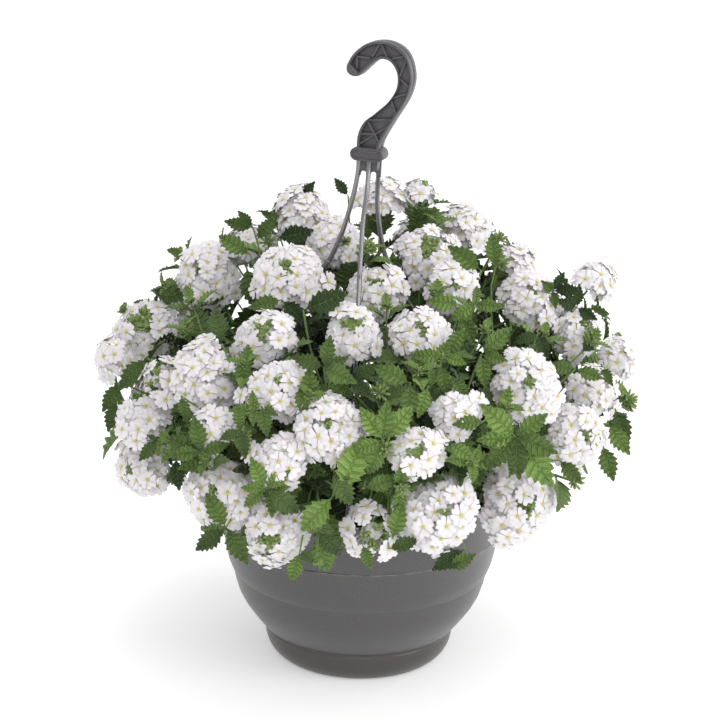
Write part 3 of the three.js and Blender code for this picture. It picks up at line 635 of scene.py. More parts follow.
def verbena_petal(name, colour, eye_colour):
    """Thin matt petal: cool white, faintly ribbed towards the tip, its throat greenish; it
    lets light through, so that its shaded side stays pale."""
    material, tree, shader = new_material(
        name, 0.62, Sheen_Weight=0.1, IOR=1.4, Specular_IOR_Level=0.3, Subsurface_Weight=0.3,
        Subsurface_Radius=(1.0, 0.97, 0.9), Subsurface_Scale=3 * MM)
    uv = node(tree, "UVMap")
    along = node(tree, "SeparateXYZ", {"Vector": uv}).outputs["X"]
    throat = node(tree, "MapRange", {"Value": along, "From Min": 0.0, "From Max": 0.3,
                                     "To Min": 0.8, "To Max": 0.0})
    variation = node(tree, "Attribute", attribute_name="variation").outputs["Fac"]
    body = node(tree, "Mix", {"Factor": variation, "A": shade_of(colour, 0.93),
                              "B": shade_of(colour, 1.0)}, data_type="RGBA")
    tint = node(tree, "Mix", {"Factor": throat, "A": body, "B": eye_colour}, data_type="RGBA")
    stretched = node(tree, "Mapping", {"Vector": uv, "Scale": (1.5, 9.0, 1.0)})
    ribs = node(tree, "TexNoise", {"Vector": stretched, "Scale": 2.0, "Detail": 2.0})
    dress(tree, shader, tint, ribs, 0.3, 0.4 * MM)
    return material


VEINS_A_SIDE = 7.5                  # half as many as the blade has rows of points


def verbena_leaf(name, young, old_and_shaded):
    """Rough hairy leaf: a quilted blade, brighter when young, with the midrib and side veins sunk
    in it as paler lines; half matt, so it catches a soft grey light. Its colour carries painted
    shade in the furrows beside the veins and a painted highlight on the bulges between them."""
    material, tree, shader = new_material(name, 0.46, Sheen_Weight=0.08, IOR=1.45)
    uv = node(tree, "UVMap")
    split = node(tree, "SeparateXYZ", {"Vector": uv})
    beside = node(tree, "Math", {0: split.outputs["Y"], 1: 0.5}, operation="SUBTRACT")
    aside = node(tree, "Math", {0: beside}, operation="ABSOLUTE")
    midrib = node(tree, "MapRange", {"Value": aside, "From Min": 0.0, "From Max": 0.07})
    rows = node(tree, "Math", {0: split.outputs["X"], 1: VEINS_A_SIDE}, operation="MULTIPLY")
    in_row = node(tree, "Math", {0: rows, 1: 0.5}, operation="PINGPONG")
    side_vein = node(tree, "MapRange", {"Value": in_row, "From Min": 0.0, "From Max": 0.22})
    ridge = node(tree, "Math", {0: side_vein, 1: midrib}, operation="MINIMUM")
    cells = node(tree, "TexVoronoi", {"Vector": uv, "Scale": 22.0})
    quilt = node(tree, "Math", {0: cells, 1: -0.5, 2: ridge}, operation="MULTIPLY_ADD")
    age = node(tree, "Attribute", attribute_name="variation").outputs["Fac"]
    # From the near-black older colour to the young one by age; on deep leaves that darkness is
    # partly painted shade.
    base = node(tree, "Mix", {"Factor": age, "A": old_and_shaded, "B": young}, data_type="RGBA")
    # Painted shade and highlight: the blade is darker in the furrows beside the veins and lighter
    # on the bulges between them, following the same relief as the bump.
    painted_relief_shade = node(tree, "MapRange", {"Value": quilt, "From Min": -0.3, "From Max": 1.0,
                                     "To Min": 0.46, "To Max": 1.18})
    blade = node(tree, "VectorMath", {0: base, "Scale": painted_relief_shade}, operation="SCALE")
    vein = node(tree, "Mix", {"Factor": 0.3, "A": base, "B": shade_of(young, 1.6)},
                data_type="RGBA")
    off_vein = node(tree, "MapRange", {"Value": ridge, "From Min": 0.15, "From Max": 0.45})
    tint = node(tree, "Mix", {"Factor": off_vein, "A": vein, "B": blade}, data_type="RGBA")
    dress(tree, shader, tint, quilt, 0.9, 2.2 * MM)
    return material


def paper_sweep(name, colour):
    """Seamless studio paper: matt and even."""
    return new_material(name, 0.9, Base_Color=colour, Emission_Color=colour,
                        Emission_Strength=0.3)[0]


# ------------------------------------------------------------------ lie of the plant

Top = namedtuple("Top", "middle radius axis")
Stem = namedtuple("Stem", "plant controls shares lengths top points normals")
Leaf = namedtuple("Leaf", "plant place age")


def smoothstep(value, low, high):
    share = np.clip((value - low) / (high - low), 0, 1)
    return share * share * (3 - 2 * share)


def crown_fullness(points, inset):
    """Below 1 inside the crown, drawn in all round by an inset, and above 1 outside it."""
    x, y, z = np.asarray(points, float).T
    rise = CROWN_FRONT_TOP + (CROWN_BACK_TOP - CROWN_FRONT_TOP) * smoothstep(y, *CROWN_RISE)
    flat = np.hypot(x, y) / (CROWN_RADIUS - inset)
    lift = z - CROWN_MIDDLE
    above = flat ** 2 + (lift / (rise - inset)) ** 2
    below = flat ** 4 + (lift / (CROWN_SKIRT - inset)) ** 4
    return np.where(lift > 0, above, below)


def outward_at(point):
    """The way straight out of the crown."""
    step = 2 * MM
    offsets = [Vector(step if k == axis else 0 for k in range(3)) for axis in range(3)]
    slope = [float(crown_fullness(point + offset, 0) - crown_fullness(point - offset, 0))
             for offset in offsets]
    return Vector(slope).normalized()


SIGHT_SEARCH = (0.32, 0.16)         # in metres before and beyond the plane through AIM


def sight_on_crown(right, up, width_seen):
    """Follows a line of sight to the crown, or to the nearest it gets."""
    target = AIM + ACROSS * right * MM + UPWARD * up * MM
    far = (target - EYE).length
    look = (target - EYE) / far
    reaches = np.arange(far - SIGHT_SEARCH[0], far + SIGHT_SEARCH[1], 2 * MM)
    places = np.array(EYE) + np.outer(reaches, np.array(look))
    widths = width_seen * MM * reaches / far
    fullness = crown_fullness(places, widths * HEAD_SUNK)
    inside = np.flatnonzero(fullness <= 1)
    best = inside[0] if len(inside) else int(np.argmin(fullness))
    return Vector(places[best]), widths[best]


def bearing_on_crown(bearing, height, width):
    radii = np.arange(0, CROWN_RADIUS, MM)
    places = np.array([bearing_point(radius, bearing, height) for radius in radii])
    outside = np.flatnonzero(crown_fullness(places, width * HEAD_SUNK) >= 1)
    return Vector(places[outside[0] if len(outside) else -1])


def lay_out_heads():
    places = []
    for right, up, seen, *nearer in FRONT_HEADS:
        point, width = sight_on_crown(right, up, seen)
        if nearer:
            point += (EYE - point).normalized() * nearer[0] * MM
        places.append((point, width))
    for height, first, last, count, wide in BACK_RINGS:
        for i in range(count):
            bearing = first + (last - first) * i / (count - 1)
            width = wide * MM * draw(len(places), *BACK_WIDTHS)
            places.append((bearing_on_crown(bearing, height * MM, width), width))
    return [Top(point, width / 2, (outward_at(point) + UP * HEAD_LIFT).normalized())
            for point, width in places]


def bud_top(point, width=BUD_WIDTH):
    return Top(point, width * MM / 2, outward_at(point))


def lay_out_buds(places, width=BUD_WIDTH):
    return [bud_top(sight_on_crown(right, up, width)[0], width) for right, up in places]


PLANT_BEARINGS = [bearing + 60 for bearing in ARM_BEARINGS]


def soil_top_at(radius):
    share = min(radius / SOIL_RADIUS, 1)
    return SOIL_TOP - (SOIL_TOP - SOIL_EDGE) * share * share


TRUNK_FOOT = soil_top_at(TRUNK_RING) - ROOT_DEPTH
TRUNK_FORK = soil_top_at(TRUNK_RING) + FORK_RISE


def inside_third(points, plant):
    """How far points lie inside the two upright planes that bound a plant's third."""
    x, y, _ = np.asarray(points, float).T
    away = np.arctan2(x, -y) - radians(PLANT_BEARINGS[plant])
    third = radians(60)
    return np.hypot(x, y) * np.minimum(np.sin(third - away), np.sin(third + away))


def plant_of(point):
    return int(np.argmax([inside_third(point, plant) for plant in range(3)]))


def bezier(controls, t):
    a, b, c, d = controls
    s = 1 - t
    return a * s ** 3 + b * (3 * s * s * t) + c * (3 * s * t * t) + d * t ** 3


def stem_between(plant, start, seat, axis, top):
    """A stem that leaves slanting up and out and meets its top along the top's axis."""
    reach = (seat - start).length * STEM_BOW
    level = Vector((seat.x - start.x, seat.y - start.y, 0)).normalized()
    controls = (start, start + (level + UP).normalized() * reach, seat - axis * reach, seat)
    shares = np.linspace(0, 1, 201)
    track = np.array([bezier(controls, t) for t in shares])
    lengths = np.concatenate([[0], np.cumsum(np.linalg.norm(np.diff(track, axis=0), axis=1))])
    stem = Stem(plant, controls, shares, lengths, top, [], [])
    ways = [tangent_at(stem, i / STEM_RUNS) for i in range(STEM_RUNS + 1)]
    flattest = min(range(2, -1, -1), key=lambda k: abs(ways[0][k]))
    side = Vector(k == flattest for k in range(3))
    normal = ways[0].cross(ways[0].cross(side).normalized())
    stem.normals.append(normal)
    for before, after in zip(ways, ways[1:]):
        normal = before.rotation_difference(after) @ normal
        stem.normals.append(normal)
    stem.points.extend(stem_point(stem, share) for share in STEM_PROBES)
    return stem


def curve_share(stem, share):
    return float(np.interp(share * stem.lengths[-1], stem.lengths, stem.shares))


def stem_point(stem, share):
    return bezier(stem.controls, curve_share(stem, share))


def tangent_at(stem, share):
    t = curve_share(stem, share)
    step = 1e-4
    return (bezier(stem.controls, min(t + step, 1))
            - bezier(stem.controls, max(t - step, 0))).normalized()


def on_stem(stem, share):
    """The point at a share of a stem, the way it goes there and the way one face looks."""
    run = min(int(share * STEM_RUNS), STEM_RUNS - 1)
    along = (stem_point(stem, (run + 1) / STEM_RUNS)
             - stem_point(stem, run / STEM_RUNS)).normalized()
    face = stem.normals[run] + stem.normals[run + 1]
    face = (face - along * face.dot(along)).normalized()
    return stem_point(stem, share), along, face


def lay_out_stems(heads, buds):
    """A stem from each trunk to each of its tops, the lowest tops' stems leaving lowest."""
    stems = []
    for plant, bearing in enumerate(PLANT_BEARINGS):
        foot = bearing_point(TRUNK_RING, bearing, 0)
        tops = [(top, HEAD_BASE * top.radius + GAP) for top in heads] + [(t, 0) for t in buds]
        own = sorted((pair for pair in tops if plant_of(pair[0].middle) == plant),
                     key=lambda pair: pair[0].middle.z)
        for order, (top, gap) in enumerate(own):
            rise = TRUNK_FORK + (order + 0.5) / len(own) * TRUNK_HEIGHT
            start = Vector((foot.x, foot.y, rise))
            stems.append(stem_between(plant, start, top.middle - top.axis * gap, top.axis, top))
    return stems


SHOOT_LENGTH = 60 * MM
SHOOT_FORK = 0.55                   # where on its stem a side shoot starts
SHOOT_PASS = 0.6                    # and where the stem is to be near


def lay_out_shoots(stems, tops):
    """Side shoots, each from the stem that passes nearest below its tip."""
    shoots = []
    for top in tops:
        plant = plant_of(top.middle)
        below = top.middle - top.axis * SHOOT_LENGTH
        own = [stem for stem in stems if stem.plant == plant]
        nearest = min(own, key=lambda stem: (stem_point(stem, SHOOT_PASS) - below).length)
        start = stem_point(nearest, SHOOT_FORK)
        shoots.append(stem_between(plant, start, top.middle, top.axis, top))
    return shoots


def back_shoot_tops():
    tops = []
    for height, first, last, count in BACK_SHOOTS:
        for i in range(count):
            bearing = first + (last - first) * (i + 0.5) / count
            tops.append(bud_top(bearing_on_crown(bearing, height * MM, BUD_WIDTH * MM)))
    return tops


# ------------------------------------------------------------------ leaves

# Where opposite pairs stand on a stem that bears a flower head: share of the stem, size,
# age from 0 (oldest, darkest) to 1 (young, bright). The lower, deeper pairs get low ages, so
# their dark colour is partly that of older leaves and partly painted shade. The first two are
# in the solids.
LEAF_PAIRS = ((0.87, 1.0, 0.75), (0.7, 1.0, 0.5))
MORE_PAIRS = ((0.7, 0.95, 0.44), (0.61, 0.95, 0.32), (0.52, 0.95, 0.22),
              (0.43, 0.9, 0.16), (0.34, 0.85, 0.08))
SHOOT_PAIRS = ((0.97, 0.42, 1.0), (0.86, 0.66, 0.8), (0.5, 0.95, 0.35))
LOW_PAIR_EVERY = 8                  # one stem in so many has the second pair in the solids
SPREAD_SLIM = 0.88                  # width of spread leaves, and of those on side shoots, as
SHOOT_SLIM = 0.9                    # shares of a full-grown leaf's
SHOOT_SCALES = (0.85, 1.15)
MORE_SCALES = (0.8, 1.15)
MORE_SHIFT, MORE_TURN = 0.02, 25    # how far off their places these stand, and in degrees
LEAF_LIFT = 0.4                     # how far upper faces turn from the stem's way to the sky
LEAF_PROBES = np.array(((0.25, 0), (0.45, 0), (0.45, 0.5), (0.45, -0.5), (0.7, 0),
                        (0.68, 0.37), (0.68, -0.37), (0.38, 0.5), (0.38, -0.5), (1, 0)))
# How far leaves keep from heads, from other leaves, arms and stems, how far they stand out from
# the crown, and how far they keep inside their plant's third.
Room = namedtuple("Room", "clearance spacing arms stems overhang border")
FIRM = Room(1.5 * MM, 8 * MM, 9 * MM, 6 * MM, 14 * MM, 1.5 * MM)         # as in the solids
LOOSE = Room(-5 * MM, 3.5 * MM, 6 * MM, 2.5 * MM, 16 * MM, -1.5 * MM)    # for those in between
SPREAD = Room(-8 * MM, 1.5 * MM, 5 * MM, 1 * MM, 22 * MM, -14 * MM)      # spread at the front
RIM_ROOM = (6 * MM, 8 * MM)          # how far leaves keep out from the lugs and above the rim
BOX_ROOM = 5 * MM                   # and how far within the solids' box
# The ways a leaf is tried until there is room for it, in degrees: swung round its stem, opened
# from it, or tilted towards the front.
LEAF_SWINGS = (0, 20, -20)
LEAF_OPENINGS = (55, 72, 40, 88, 28)
LEAF_TILTS = (8, 22, -8, 36, -22, 50)


def leaf_arch(share):
    """How high a blade of length 1 stands over its base, from stalk to tip."""
    return 0.3 * share - 0.34 * share * share


def blade_turn(midrib, upper):
    """Turns a leaf along its midrib, with its upper face as near as can be to a way."""
    z = (upper - midrib * upper.dot(midrib)).normalized()
    return Matrix((midrib, z.cross(midrib), z)).transposed()


def all_apart(points, others, distance):
    if not len(others):
        return True
    gaps = points[:, None, :] - others[None, :, :]
    return bool((np.einsum("ijk,ijk->ij", gaps, gaps) > distance * distance).all())


class Foliage:
    """Keeps what the leaves must stay clear of, and the leaves laid out so far."""

    def __init__(self, stems, tops, arm_points, length, width):
        self.length, self.width = length, width
        self.leaves = []
        self.bare = []
        self.probes = np.zeros((0, 3))
        self.stems = stems
        self.stem_points = np.array([[tuple(p) for p in stem.points] for stem in stems])
        self.middles = np.array([tuple(top.middle) for top in tops])
        self.reaches = np.array([top.radius for top in tops])
        self.arms = np.array([tuple(p) for p in arm_points])

    def has_room(self, probes, stem, room):
        """Whether all points of a leaf are far enough from everything."""
        radius = np.hypot(probes[:, 0], probes[:, 1])
        lowest, highest = np.array(cad_box[0]) + BOX_ROOM, np.array(cad_box[1]) - BOX_ROOM
        if ((inside_third(probes, stem.plant) < room.border).any()
                or ((probes[:, 2] < RIM_HEIGHT + RIM_ROOM[1])
                    & (radius < LUG_REACH + RIM_ROOM[0])).any()
                or (crown_fullness(probes, -room.overhang) > 1).any()
                or (probes < lowest).any() or (probes > highest).any()
                or not all_apart(probes, self.arms, room.arms)):
            return False
        others = [points for other, points in zip(self.stems, self.stem_points)
                  if other is not stem]
        if not (all_apart(probes, np.concatenate(others), room.stems)
                and all_apart(probes, self.probes, room.spacing)):
            return False
        gaps = np.linalg.norm(probes[:, None, :] - self.middles[None, :, :], axis=2)
        return bool((gaps > self.reaches + room.clearance).all())

    def fits(self, base, turn, length, width, stem, age, room):
        """Keeps a leaf if there is room for it, and tells whether there is."""
        local = np.column_stack([LEAF_PROBES[:, 0] * length, LEAF_PROBES[:, 1] * width,
                                 leaf_arch(LEAF_PROBES[:, 0]) * length])
        probes = local @ np.array(turn).T + np.array(base)
        if not self.has_room(probes, stem, room):
            return False
        self.probes = np.concatenate([self.probes, probes])
        sizes = Matrix.Diagonal((length, width, length, 1))
        self.leaves.append(Leaf(stem.plant, Matrix.Translation(base) @ turn.to_4x4() @ sizes, age))
        return True

    def grow(self, stem, share, bearing, scale, age, room, slim=1):
        """Tries a leaf, opening and swinging it until there is room for it."""
        length, width = self.length * scale, self.width * scale * slim
        base, along, face = on_stem(stem, share)
        for swing in LEAF_SWINGS:
            out = Quaternion(along, radians(bearing + swing)) @ face
            for opening in map(radians, LEAF_OPENINGS):
                midrib = along * cos(opening) + out * sin(opening)
                turn = blade_turn(midrib, along + UP * LEAF_LIFT)
                if self.fits(base, turn, length, width, stem, age, room):
                    return

    def spread(self, shoot, turn, length, age):
        """Tries a leaf spread towards the front, tilting it until there is room for it."""
        width = length * SPREAD_SLIM * self.width / self.length
        base = stem_point(shoot, 1)
        to_eye = (EYE - base).normalized()
        turn = radians(turn)
        level = ACROSS * cos(turn) + UPWARD * sin(turn)
        for tilt in map(radians, LEAF_TILTS):
            midrib = (level * cos(tilt) + to_eye * sin(tilt)).normalized()
            if self.fits(base, blade_turn(midrib, to_eye), length, width, shoot, age, SPREAD):
                return


def pairs_on(stems):
    """Each stem with its index, and the two bearings of an opposite pair of leaves."""
    return [(index, stem, side) for index, stem in enumerate(stems) for side in (0, 180)]


def lay_out_leaves(stems, shoots, sprays, foliage):
    """Leaves in opposite pairs on stems and shoots. The first to be laid out have first choice
    of the room, so the pairs that are in the solids come before the rest."""
    for pair, (share, size, age) in enumerate(LEAF_PAIRS):
        for index, stem, side in pairs_on(stems):
            if pair == 0 or index % LOW_PAIR_EVERY == 0:
                scale = size * draw(index * 3 + pair + 7, *LEAF_SCALES)
                foliage.grow(stem, share, (index + pair) * 90 + side, scale, age, FIRM)
    for shoot, (_, _, *spread) in zip(sprays, FRONT_SPRAYS):
        before = len(foliage.leaves)
        for turn, seen, age in spread:
            foliage.spread(shoot, turn, seen * MM, age)
        if len(foliage.leaves) == before:
            foliage.bare.append(shoot)
    for pair, (share, size, age) in enumerate(SHOOT_PAIRS):
        for index, shoot, side in pairs_on(shoots):
            scale = size * draw(index * 5 + pair + 3, *SHOOT_SCALES)
            foliage.grow(shoot, share, (index + pair) * 90 + side, scale, age, LOOSE, SHOOT_SLIM)
    for pair, (share, size, age) in enumerate(MORE_PAIRS):
        for index, stem, side in pairs_on(stems):
            seed = index * 7 + pair * 131 + side
            bearing = (index + pair) * 90 + side + 45 + spread_draw(seed + 2, MORE_TURN)
            foliage.grow(stem, share + spread_draw(seed + 1, MORE_SHIFT), bearing,
                         size * draw(seed, *MORE_SCALES), age, LOOSE)


# Each row of the blade from stalk to tip: where it leaves the midrib, and where and how far
# out its edge lies. Rows alternate between a tooth's point and the notch above it.
LEAF_ROWS = ((0.0, 0.0, 0.05), (0.10, 0.10, 0.06), (0.14, 0.19, 0.50), (0.20, 0.22, 0.38),
             (0.25, 0.325, 0.90), (0.31, 0.36, 0.68), (0.36, 0.47, 1.04), (0.43, 0.505, 0.76),
             (0.49, 0.61, 0.96), (0.56, 0.64, 0.65), (0.62, 0.74, 0.76), (0.69, 0.76, 0.46),
             (0.76, 0.85, 0.50), (0.84, 0.87, 0.27), (0.92, 0.95, 0.20), (1.0, 1.0, 0.03))
# Heights on a blade of length 1: half way out beside a notch and beside a tooth, the wave of
# its edge, and how far its sides are raised over the midrib.
LEAF_DIP, LEAF_SWELL, LEAF_FRILL, LEAF_CUP = 0.034, -0.01, 0.03, 0.11


def blade_grid(rows):
    """A flat grid with two columns to each side of the middle, to be shaped into a blade."""
    clear_selection()
    bpy.ops.mesh.primitive_grid_add(x_subdivisions=rows, y_subdivisions=4, size=2,
                                    calc_uvs=True)
    return bpy.context.object


def leaf_template(material):
    """A toothed, arched and puckered blade, one long and one wide, lying along +X."""
    rows = len(LEAF_ROWS) - 1
    leaf = blade_grid(rows)
    leaf.name = "leaf"
    for vertex in leaf.data.vertices:
        row = round((vertex.co.x + 1) / 2 * rows)
        aside = abs(vertex.co.y)
        midrib, edge, out = LEAF_ROWS[row]
        share = midrib + (edge - midrib) * aside
        in_notch = row % 2 == 1
        half_way = 0.2 < aside < 0.8
        pucker = frill = 0
        if 2 <= row < rows and half_way:
            pucker = LEAF_DIP if in_notch else LEAF_SWELL
        if 2 <= row < rows and aside > 0.8:
            frill = spread_draw(row * 3 + (vertex.co.y > 0), LEAF_FRILL)
        vertex.co = (share, vertex.co.y * out / 2,
                     leaf_arch(share) + out * aside * LEAF_CUP + pucker + frill)
    return smoothed(coat(leaf, material))


# ------------------------------------------------------------------ flowers

# Rows of a petal from throat to tip: distance out at the middle, half way and edge, and
# half its width, in floret radii. The tip is notched, so its middle lies further in.
PETAL_ROWS = (((0.08, 0.08, 0.08), 0.06), ((0.40, 0.40, 0.38), 0.26),
              ((0.70, 0.76, 0.68), 0.49), ((0.80, 1.0, 0.86), 0.47))
PETAL_HEIGHTS = (-0.05, 0.03, 0.05, -0.01)
PETAL_FRILL = 0.04                  # heights at the tip: the wave of its edge, the groove down
PETAL_GROOVE = -0.06                # its middle, and how far one side is lifted over the other
PETAL_TWIST = 0.05
# How much the petals of a floret differ: in lift and turn in radians, and in size.
PETAL_LIFTS, PETAL_TURNS, PETAL_SIZES = 0.13, 0.08, 0.07
CORE_BUMPS = 0.16                   # how uneven the skin of a head's core is, in its radii


def petal_template(material, seed):
    """A broad notched petal along +X, one long, with a wavy tip and a groove down it."""
    rows = len(PETAL_ROWS) - 1
    petal = blade_grid(rows)
    for vertex in petal.data.vertices:
        row = round((vertex.co.x + 1) / 2 * rows)
        across = vertex.co.y
        column = round((across + 1) * 2)
        reaches, half_width = PETAL_ROWS[row]
        share = row / rows
        groove = PETAL_GROOVE * share if column == 2 else 0
        frill = spread_draw(seed + row * 5 + column, PETAL_FRILL) * share ** 2
        vertex.co = (reaches[round(abs(across) * 2)], across * half_width,
                     PETAL_HEIGHTS[row] + groove + frill + PETAL_TWIST * across * share)
    return coat(petal, material)


# Profiles of round parts, as radius and height: those of a floret, in its radii, then a bud
# of length 1, and the dome of packed tubes or buds in a head of radius 1.
EYE_PROFILE = ((0.03, -0.16), (0.12, 0.0), (0.07, 0.03))
TUBE_PROFILE = ((0.05, -1.5), (0.1, -0.9), (0.08, -0.12))
BUD_PROFILE = ((0.04, 0), (0.1, 0.25), (0.09, 0.6), (0.11, 0.8), (0.06, 0.94), (0.01, 1))
CORE_PROFILE = ((0.3, -0.45), (0.7, -0.4), (0.93, -0.15), (1.0, 0.15), (0.8, 0.55), (0.35, 0.8))


def floret_template(name, seed, petal_material, eye_material, tube_material):
    """Five notched petals round a small throat, above a pale tube. Its radius is 1."""
    petals = []
    for k in range(5):
        petal = petal_template(petal_material, seed + k * 17)
        lift = spread_draw(seed + k, PETAL_LIFTS)
        size = 1 + spread_draw(seed + k + 9, PETAL_SIZES)
        turn = tau * k / 5 + spread_draw(seed + k + 5, PETAL_TURNS)
        petals.append(settle(petal, Matrix.Rotation(turn, 4, "Z")
                             @ Matrix.Rotation(-lift, 4, "Y") @ Matrix.Scale(size, 4)))
    eye = coat(turned("eye", EYE_PROFILE, 5), eye_material)
    tube_body = coat(turned("tube", TUBE_PROFILE, 4), tube_material)
    return smoothed(join([*petals, eye, tube_body], name))


def bud_template(name, material):
    """A closed pointed bud, one unit long, standing on the origin."""
    return smoothed(coat(turned(name, BUD_PROFILE, 5), material))


def core_template(name, material):
    """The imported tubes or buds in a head: a dome with an uneven skin, radius 1."""
    core = turned(name, CORE_PROFILE, 9)
    for index, vertex in enumerate(core.data.vertices):
        vertex.co *= 1 + spread_draw(index, CORE_BUMPS)
    return coat(core, material)


HEAD_LOWEST = -0.4                  # height of the lowest florets on a head, in radii
STRAY_LOWEST = -0.6                 # and of those that stand out
FLORET_AREA = 0.46                  # of a head's surface to a floret, in squares of its width
OPEN_AREA = 1.8                     # how many times that in an open head
FEWEST_FLORETS = 9
FLORET_SIZES = (0.82, 1.1)          # of the floret's width in the settings
FLORET_SUNK = (0.5 * MM, 5.5 * MM)  # how deep they lie below the head's outline
STRAYS = 3                          # florets that stand out beyond a head's outline
STRAY_REACHES = (2 * MM, 7 * MM)    # how much further they reach
FLORET_SHIFT = 0.12                 # how much florets stray from their even places
FLORET_LEAN = 0.22                  # and from looking straight out
HEAD_LUMPS = (0.1, 0.07)            # two and three waves round a head's outline, in radii
LIGHT_PULL = 1.5                    # how far front heads turn from their stems to the light
SKYLINE_PULL = 0.3
POLE_PULL = 0.65                    # how far florets turn from straight out to the pole
FLATTENING = 0.16                   # how much flatter than a ball a head is, along its pole
SOME_GREEN = 0.975                  # GREEN_CENTRES for half of the heads that it leaves out
BUDS_FOR_FLORET = 9                 # buds in the place of one floret
BUD_FOOT = 0.36                     # where they start, and how long they are, in radii
BUD_LENGTHS = (0.42, 0.52)
BUD_STOUTNESS = Vector((1.1, 1.1, 1))
BUD_LEAN = 0.2
CORE_SIZES = (0.79, 0.4)            # of the tubes' dome, in a full head and in an open one
CORE_SUNK = 0.1                     # how far its middle lies below the head's, in radii
GREEN_CORE = (0.68, 0.85)           # top of the buds' dome, and how much of the patch it fills


def spiral_way(index, count, lowest, seed):
    """Directions spread evenly from the pole down to a height, in a golden spiral."""
    rise = 1 - (index + 0.45) / count * (1 - lowest)
    flat = sqrt(max(1 - rise * rise, 0))
    turn = index * GOLDEN_TURN + seed
    return Vector((flat * cos(turn), flat * sin(turn), rise))


def wobble(seed, reach):
    """A small repeatable offset."""
    return Vector(spread_draw(seed + k, reach) for k in range(3))


DISC_SPARE, DISC_DEPTH = 1.12, 0.1  # a floret's greatest radius and half depth, in its radii


def inside_box(point, look, size):
    """Moves a floret's middle in until its whole disc lies within the solids' box."""
    moved = []
    for k in range(3):
        half = size * DISC_SPARE * (sqrt(max(1 - look[k] ** 2, 0)) + DISC_DEPTH)
        moved.append(min(max(point[k], cad_box[0][k] + half), cad_box[1][k] - half))
    return Vector(moved)


def pole_of(number, top):
    """The way a head looks: along its stem, and at the front more or less to the light."""
    if number > len(FRONT_HEADS):
        return top.axis.copy()
    pull = SKYLINE_PULL if number in SKYLINE_HEADS else LIGHT_PULL
    return (top.axis + (EYE - top.middle).normalized() * pull).normalized()


def centre_buds(top, turn, way, seed, index):
    """Frames for the green buds that stand in the place of one floret."""
    frames = []
    for extra in range(BUDS_FOR_FLORET):
        leaning = turn @ (way + wobble(seed + index * 9 + extra * 3, BUD_LEAN)).normalized()
        foot = top.middle + leaning * top.radius * BUD_FOOT
        length = top.radius * draw(extra + index, *BUD_LENGTHS)
        frames.append(facing(foot, leaning, index, BUD_STOUTNESS * length))
    return frames


def flower_head(number, top, florets, bud, cores, width):
    """One head: florets over a dome, in bud at the middle of a young one, round a core."""
    seed = number * 17
    radius = top.radius
    pole = pole_of(number, top)
    turn = UP.rotation_difference(pole)
    is_open = number in OPEN_HEADS
    area = FLORET_AREA * (OPEN_AREA if is_open else 1) * width ** 2
    count = max(int(tau * (1 - HEAD_LOWEST) * radius ** 2 / area), FEWEST_FLORETS)
    green_above = GREEN_CENTRES.get(number, SOME_GREEN if draw(seed) > 0.5 else 2)
    placed = [[] for _ in florets]
    tints = [[] for _ in florets]
    buds = []
    for i in range(count + STRAYS):
        way = spiral_way(i, count, HEAD_LOWEST, seed)
        stray = i >= count
        if stray:
            way = spiral_way(STRAYS, 2 * STRAYS, STRAY_LOWEST, seed + i * GOLDEN_TURN)
        if way.z > green_above:
            buds += centre_buds(top, turn, way, seed, i)
            continue
        way = turn @ (way + wobble(seed + i * 3, FLORET_SHIFT)).normalized()
        size = width / 2 * draw(seed + i * 5, *FLORET_SIZES)
        round_about = atan2(way.z, way.x)
        lumps = (HEAD_LUMPS[0] * sin(2 * round_about + seed)
                 + HEAD_LUMPS[1] * sin(3 * round_about - seed))
        reach = radius * (1 + lumps) - draw(seed + i * 11, *FLORET_SUNK)
        if stray:
            reach += draw(seed + i * 7, *STRAY_REACHES)
        look = (way + wobble(seed + i * 13, FLORET_LEAN) + pole * POLE_PULL).normalized()
        point = top.middle + (way - pole * way.dot(pole) * FLATTENING) * reach
        which = i % len(florets)
        placed[which].append(facing(inside_box(point, look, size), look,
                                    draw(seed + i * 23) * tau, size))
        tints[which].append(draw(seed + i * 29))
    parts = []
    for floret, frames, shades in zip(florets, placed, tints):
        parts += copied(floret, frames, shades)
    parts += copied(bud, buds)
    parts += copied(cores[0], [facing(top.middle - pole * radius * CORE_SUNK, pole, seed,
                                      radius * CORE_SIZES[is_open])])
    if green_above < 1 and not is_open:
        highest, filled = GREEN_CORE
        patch = sqrt(1 - green_above ** 2) * radius * filled
        parts += copied(cores[1], [facing(top.middle + pole * (radius * highest - patch), pole,
                                          seed, patch)])
    return join(parts, f"verbena_head_{number:02d}")


CLUSTER_BUDS = 18
CLUSTER_LOWEST = 0.15               # height of its lowest buds, in radii
CLUSTER_FOOT = 0.4                  # how far below the shoot's end they start, in radii
CLUSTER_LENGTHS = (0.8, 1.2)
NEAR_RIM = (20 * MM, 0.6)           # height over the rim below which buds are smaller, and how


def bud_cluster(top, seed, bud):
    """A tight cluster of green buds at the end of a shoot."""
    frames = []
    height, smaller = NEAR_RIM
    scale = smaller if top.middle.z < RIM_HEIGHT + height else 1
    turn = UP.rotation_difference(top.axis)
    foot = top.middle - top.axis * top.radius * CLUSTER_FOOT
    for i in range(CLUSTER_BUDS):
        way = turn @ (spiral_way(i, CLUSTER_BUDS, CLUSTER_LOWEST, seed)
                      + wobble(seed + i * 3, 0.15))
        length = top.radius * draw(seed + i, *CLUSTER_LENGTHS) * scale
        frames.append(facing(inside_box(foot, UP, length), way.normalized(), i, length))
    return copied(bud, frames)


# ------------------------------------------------------------------ operators

